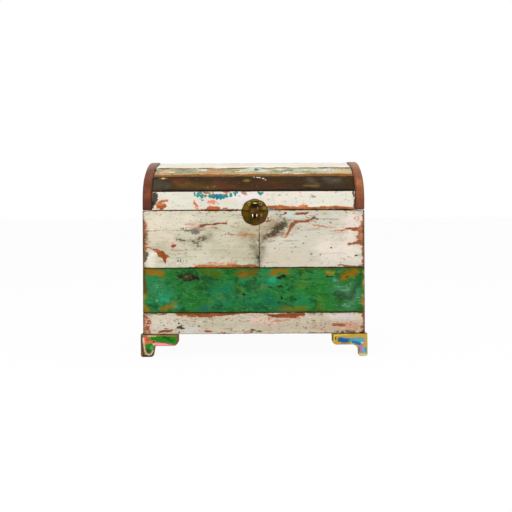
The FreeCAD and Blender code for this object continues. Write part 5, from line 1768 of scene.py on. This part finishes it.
RIGHT_FOOT_FIELDS = (
    brush((222, 202, 84), (251, 66, 2.2), (300, 67, 1.4)),
    brush((216, 190, 70), (252, 62, 2.4), (252, 48, 2.4)),
    brush((92, 158, 190), (310, 52, 6.5), (328, 51, 10), (341, 51.5, 8.6), soft=1.4),
    brush((96, 150, 160), (300, 55, 3), (316, 56, 3)),
    brush((26, 94, 152), (270, 52, 8), (284, 51, 8.6), (298, 50, 6.6), soft=1.4),
    brush((22, 102, 134), (267, 57, 3), (268, 48, 4)),
    brush((104, 146, 170), (279, 59, 1.6), (298, 57.5, 1.6), soft=1.6),
    brush((70, 156, 172), (300, 51, 4), (311, 49, 4)),
    brush((126, 158, 108), (330, 57.5, 3.4), (342, 56, 3.4), soft=2),
    brush((26, 116, 158), (308, 46, 3), (321, 42.5, 6), (334, 39, 6), soft=1.6),
    brush((220, 236, 240), *oval(339, 42.5, 4, 1.6)),
    brush((176, 124, 164), (335.5, 28, 8.4), (338, 19, 8.6), soft=1.6),
    brush((86, 178, 208), (346, 24, 5.2), (346, 14, 6), soft=1.6),
    brush((24, 104, 120), (351, 27, 1.2), (351.4, 13, 1.2)),
    brush((208, 206, 144), (334, 4, 4.6), (352, 4, 4.6)),
    brush((84, 72, 38), (247.6, 68, 1.8), (247.6, 50, 1.8)),
    brush((76, 60, 28), *oval(256, 55.5, 2.3, 5.4)),
    brush((36, 40, 50), *oval(299, 53.5, 2, 1.6)),
    brush((112, 116, 44), (274, 38.4, 1.2), (296, 38.4, 1.2)),
    brush((178, 160, 104), (354.4, 30, 2.4), (355, 8, 2.6)),
    brush((70, 110, 96), (329, 30, 1.3), (331, 16, 1.3)),
)
RIGHT_FOOT = FootPaint(ground=rgb(200, 156, 50), border=rgb(206, 164, 56), rim=rgb(150, 122, 56),
                       border_at=3, rim_at=0.7, fields=RIGHT_FOOT_FIELDS)
LEFT_FOOT_PLAIN = FootPaint(rgb(*FOOT_GREEN), rgb(*CREAM_LINE), rgb(104, 68, 46), 8, 4)
RIGHT_FOOT_PLAIN = FootPaint(rgb(60, 128, 172), rgb(214, 162, 48), rgb(196, 160, 70), 6, 2)


@dataclass
class Feet(SubAssembly):
    """The bracket feet, painted in fields inside a border."""

    edge_radius: float = 3 * MM
    face_spacing: float = 1.6 * MM
    return_spacing: float = 5 * MM
    wobble: float = 0.6 * MM

    def build(self) -> None:
        """Builds all eight brackets."""
        sides = (("left", Side.LEFT, LEFT_FOOT, LEFT_FOOT_PLAIN),
                 ("right", Side.RIGHT, RIGHT_FOOT, RIGHT_FOOT_PLAIN))
        for name, outward, shown, plain in sides:
            front = shown.material(f"foot_{name}_paint", self.effects)
            other = plain.material(f"foot_{name}_plain", self.effects)
            ends = (("front", Side.FRONT, front, shown.fields), ("back", Side.BACK, other, ()))
            for end, facing, finish, fields in ends:
                SawnPiece(f"foot_{end}_{name}_face", facing, Slot.FOOT, Body.CHEST, self.edge_radius,
                          self.face_spacing, wobble=self.wobble).build(finish, fields)
                SawnPiece(f"foot_{end}_{name}_return", outward, Slot.FOOT, Body.CHEST, self.edge_radius,
                          self.return_spacing).build(other)


@dataclass(frozen=True)
class ToneAndLight:
    """A soft oval on metal: a patch of tone, a painted highlight or a painted shadow, in millimetres from
    the clasp's middle.
    """

    colour: Screen
    x: float
    up: float
    half_long: float
    half_high: float


@dataclass(frozen=True)
class MetalFinish:
    """Aged metal, clean in places and dull in others, with patches of tone, painted highlights and painted
    shadows.
    """

    clean: Colour
    dull: Colour
    dark: Colour
    roughness: float = 0.45
    metal: float = 0.75
    tones_and_light: tuple[ToneAndLight, ...] = ()

    def material(self, name: str, effects: Effects, middle: Pair = (0.0, 0.0)) -> Material:
        """The finish as a material.

        Args:
            name: of the material.
            effects: the shared groups.
            middle: what the ovals are measured from, along and up, in metres.

        Returns:
            The material.
        """
        make = Surface(name)
        vector = make.place()
        cloud = make.noise(vector, 70, 5, 0.65)
        fine = make.noise(vector, 420, 3, 0.6)
        colour = make.mix(make.remap(cloud, 0.4, 0.66), self.dull, self.clean)
        # patches of tone, painted highlights and painted shadows, each a soft oval
        for tone_light in self.tones_and_light:
            centre = (middle[0] + tone_light.x * MM, 0.0, middle[1] + tone_light.up * MM)
            size = (tone_light.half_long * MM, 1.0, tone_light.half_high * MM)
            mask = make.group(effects.spot, Vector=vector, Centre=centre, Size=size).outputs["Mask"]
            colour = make.mix(mask, colour, rgb(*tone_light.colour))
        colour = make.mix(make.remap(fine, 0.52, 0.72, 0, 0.7), colour, self.dark)
        metal = make.remap(fine, 0.5, 0.75, self.metal, self.metal - 0.3)
        make.feed(make.shader.inputs["Metallic"], metal)
        rough = make.remap(cloud, 0.35, 0.7, self.roughness + 0.12, self.roughness - 0.08)
        return make.dressed(colour, rough, 0.1, fine, 0.15 * MM, 0.5)


UPPER_BRASS = MetalFinish(
    clean=rgb(106, 86, 24), dull=rgb(80, 60, 16), dark=rgb(42, 29, 6),
    tones_and_light=(
        # painted shadow under the hasp's barrel
        ToneAndLight((40, 24, 8), 2, 16, 21, 10),
        ToneAndLight((108, 86, 22), -28, 14, 9, 9),
        ToneAndLight((86, 56, 34), 26, 24, 7, 6),
        ToneAndLight((126, 114, 54), 31, 13, 6, 5),
        # painted highlight along the plate's raised top
        ToneAndLight((116, 104, 34), 0, 38, 16, 3),
        ToneAndLight((54, 38, 14), 5, 33.5, 8, 1.8),
        # painted rings for the two lugs, each a painted highlight round a darker middle
        ToneAndLight((150, 138, 78), -16.6, 27, 6.4, 6.4),
        ToneAndLight((84, 68, 26), -16.6, 27, 3.2, 3.2),
        ToneAndLight((146, 134, 74), 18.2, 27, 6, 6),
        ToneAndLight((66, 50, 20), 18.2, 27, 3.4, 3.4),
    ))
LOWER_BRASS = MetalFinish(
    clean=rgb(91, 70, 10), dull=rgb(69, 50, 6), dark=rgb(33, 23, 4),
    tones_and_light=(
        ToneAndLight((90, 66, 8), -28, -4, 10, 12),
        ToneAndLight((52, 48, 14), -16, -30, 12, 8),
        ToneAndLight((80, 54, 38), 20, -24, 12, 10),
        # painted highlight
        ToneAndLight((118, 110, 46), 20.5, -9, 3.6, 6),
        # painted shade along the gap between the two halves of the plate
        ToneAndLight((54, 36, 8), 0, 3, 40, 3),
    ))
HASP_BRASS = MetalFinish(
    clean=rgb(88, 60, 20), dull=rgb(58, 38, 10), dark=rgb(24, 15, 4),
    tones_and_light=(
        # painted shadow under the barrel
        ToneAndLight((34, 20, 8), 2, 19, 18, 6),
        # painted highlight streak
        ToneAndLight((112, 90, 66), 9, 12, 3, 6),
        ToneAndLight((96, 74, 30), -8, 2, 6, 9),
        # painted highlight along the barrel
        ToneAndLight((236, 216, 146), 1, 28.4, 6.4, 1.5),
        # painted shade in the gap between the two eyes
        ToneAndLight((28, 16, 8), 0, -13, 3.4, 9),
    ))
EYE_BRASS = MetalFinish(
    clean=rgb(120, 94, 46), dull=rgb(92, 68, 30), dark=rgb(60, 42, 18), roughness=0.3,
    tones_and_light=(
        # painted highlights on the two eyes
        ToneAndLight((255, 244, 214), -6.4, -10.4, 4.2, 5.2),
        ToneAndLight((255, 238, 190), 6.8, -10, 4.2, 4.6),
    ))
IRON = MetalFinish(clean=rgb(112, 100, 88), dull=rgb(78, 66, 58), dark=rgb(60, 40, 28), roughness=0.5)


def soften(node: str, width: float, material: Material) -> None:
    """Keeps a solid, with a small bevel on its edges, in a finish.

    Args:
        node: the solid.
        width: of the bevel, in metres.
        material: its finish.
    """
    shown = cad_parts[node]
    plain = shown.modifiers.new("planes", "DECIMATE")
    plain.decimate_type = "DISSOLVE"
    plain.angle_limit = math.radians(1)
    bevel = shown.modifiers.new("softened", "BEVEL")
    bevel.width = width
    bevel.segments = 2
    bevel.limit_method = "ANGLE"
    bevel.angle_limit = math.radians(40)
    shown.data.materials.clear()
    shown.data.materials.append(material)
    LOG.info("%s: kept", node)


@dataclass
class Clasp(SubAssembly):
    """The round brass plate in two halves, the hasp, its pin, the eyes and the nails."""

    plate_bevel: float = 0.4 * MM
    small_bevel: float = 0.15 * MM
    finishes: tuple[tuple[str, MetalFinish], ...] = (
        ("clasp_upper_plate", UPPER_BRASS),
        ("clasp_upper_nails", UPPER_BRASS),
        ("hasp_pin", UPPER_BRASS),
        ("clasp_lower_plate", LOWER_BRASS),
        ("clasp_lower_nails", LOWER_BRASS),
        ("hasp", HASP_BRASS),
        ("clasp_eyes", EYE_BRASS),
    )

    def build(self) -> None:
        """Gives each piece its finish."""
        low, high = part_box("clasp_lower_plate")
        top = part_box("clasp_upper_plate")[1]
        middle = ((low.x + high.x) / 2, (low.z + top.z) / 2)
        for node, finish in self.finishes:
            bevel = self.plate_bevel if node.endswith("plate") else self.small_bevel
            soften(node, bevel, finish.material(f"{node}_brass", self.effects, middle))


@dataclass
class Hinges(SubAssembly):
    """The two butt hinges on the back."""

    bevel: float = 0.3 * MM

    def build(self) -> None:
        """Gives leaves, pins and screws an iron finish."""
        iron = IRON.material("hinge_iron", self.effects)
        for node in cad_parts:
            if node.startswith("hinge_"):
                soften(node, self.bevel, iron)


@dataclass
class Inside(SubAssembly):
    """The bare wood inside the box and the lid."""

    bevel: float = 1 * MM
    pieces: tuple[tuple[str, Grain], ...] = (
        ("corner_post", Grain.UPRIGHT),
        ("front_seam", Grain.UPRIGHT),
        ("floor_cleat", Grain.DEEP),
        ("lid_rib", Grain.DEEP),
        ("floor_board", Grain.WIDE),
        ("foot_blocks", Grain.WIDE),
    )

    def build(self) -> None:
        """Gives each inner piece wood with its grain along it."""
        for start, fibres in self.pieces:
            wood = bare_wood(f"{start}_wood", BARE, fibres, self.effects)
            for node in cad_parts:
                if node.startswith(start):
                    soften(node, self.bevel, wood)


@dataclass(frozen=True)
class Lamp:
    """A square soft light: where it hangs, its aim, its side in metres and its power in watts."""

    name: str
    spot: Spot
    aim: Spot
    size: float
    power: float


@dataclass
class Studio:
    """A pale floor, soft light and the camera."""

    distance: float = 2.350
    height: float = 0.470
    sideways: float = 0.008
    lens: float = 52.4
    shift: float = -0.0953
    roll: float = math.radians(0.26)
    floor_half: float = 30.0
    floor_glow: float = 0.96
    light_level: float = 0.5
    white: Colour = (1.0, 1.0, 1.0, 1.0)
    lamps: tuple[Lamp, ...] = (
        Lamp("key", (-1.6, -3.0, 2.6), (0.0, -0.2, 0.35), 2.4, 62.0),
        Lamp("fill", (2.2, -2.6, 1.6), (0.0, -0.2, 0.3), 2.4, 30.0),
        Lamp("top", (0.2, 0.2, 3.2), (0.0, 0.0, 0.5), 2.2, 26.0),
    )

    def build(self) -> None:
        """Builds floor, world, lamps and camera."""
        self.floor()
        self.world()
        for lamp in self.lamps:
            self.hang(lamp)
        self.camera()

    @staticmethod
    def seen(make: Nodes) -> Socket:
        """One where the camera, a reflection or clear glass looks at the surface, and nothing for its light.

        Args:
            make: the material's nodes.

        Returns:
            The mask.
        """
        path = make.add("ShaderNodeLightPath")
        direct = make.math("MAXIMUM", path.outputs["Is Camera Ray"], path.outputs["Is Glossy Ray"])
        return make.math("MAXIMUM", direct, path.outputs["Is Transmission Ray"])

    def floor(self) -> None:
        """A wide pale floor that stays near white and keeps the chest's shadow."""
        mesh = bpy.data.meshes.new("floor")
        half = self.floor_half
        corners = [(-half, -half, 0), (half, -half, 0), (half, half, 0), (-half, half, 0)]
        mesh.from_pydata(corners, [], [(0, 1, 2, 3)])
        floor = bpy.data.objects.new("floor", mesh)
        bpy.context.scene.collection.objects.link(floor)
        make = Surface("floor_white")
        make.fill(make.shader, {"Base Color": (0.9, 0.9, 0.9, 1.0), "Roughness": 0.9})
        glow = make.add("ShaderNodeEmission", {"Color": self.white, "Strength": 1.0})
        share = make.math("MULTIPLY", self.seen(make), self.floor_glow)
        blend = make.add("ShaderNodeMixShader", {0: share, 1: make.shader.outputs[0], 2: glow.outputs[0]})
        make.feed(make.tree.nodes["Material Output"].inputs["Surface"], blend.outputs[0])
        mesh.materials.append(make.material)

    def world(self) -> None:
        """Even white light, seen as white."""
        world = bpy.data.worlds.new("studio")
        bpy.context.scene.world = world
        world.use_nodes = True
        make = Nodes(world.node_tree)
        back = world.node_tree.nodes["Background"]
        back.inputs["Color"].default_value = self.white
        make.feed(back.inputs["Strength"], make.remap(self.seen(make), 0, 1, self.light_level, 1))

    @staticmethod
    def hang(lamp: Lamp) -> None:
        """Adds a lamp, turned to what it is aimed at.

        Args:
            lamp: the lamp.
        """
        light = bpy.data.lights.new(lamp.name, "AREA")
        light.size = lamp.size
        light.energy = lamp.power
        hung = bpy.data.objects.new(lamp.name, light)
        bpy.context.scene.collection.objects.link(hung)
        hung.location = lamp.spot
        hung.rotation_euler = (Vector(lamp.aim) - Vector(lamp.spot)).to_track_quat("-Z", "Y").to_euler()

    def camera(self) -> None:
        """A level camera in front of the chest, a little above the rim."""
        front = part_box("front_middle_plank")[0].y
        data = bpy.data.cameras.new("camera")
        data.lens = self.lens
        data.shift_y = self.shift
        camera = bpy.data.objects.new("camera", data)
        bpy.context.scene.collection.objects.link(camera)
        camera.location = (self.sideways, front - self.distance, self.height)
        camera.rotation_euler = (math.pi / 2, self.roll, 0.0)
        bpy.context.scene.camera = camera


def main() -> None:
    """Builds every piece, then the studio."""
    logging.basicConfig(level=logging.INFO, format="%(name)s: %(message)s")
    noise.seed_set(NOISE_SEED)
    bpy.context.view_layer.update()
    bpy.context.scene.view_settings.view_transform = "Standard"
    effects = Effects()
    for assembly in (FrontWall, HiddenWalls, Lid, Feet, Clasp, Hinges, Inside):
        assembly(effects).build()
    Studio().build()
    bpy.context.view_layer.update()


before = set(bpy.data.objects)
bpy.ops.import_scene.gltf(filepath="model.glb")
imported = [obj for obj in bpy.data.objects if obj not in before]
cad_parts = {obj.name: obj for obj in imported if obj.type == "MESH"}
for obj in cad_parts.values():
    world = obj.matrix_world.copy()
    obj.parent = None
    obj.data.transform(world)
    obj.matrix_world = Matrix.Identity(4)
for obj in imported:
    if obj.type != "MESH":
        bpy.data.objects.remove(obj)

if __name__ == "__main__":
    main()
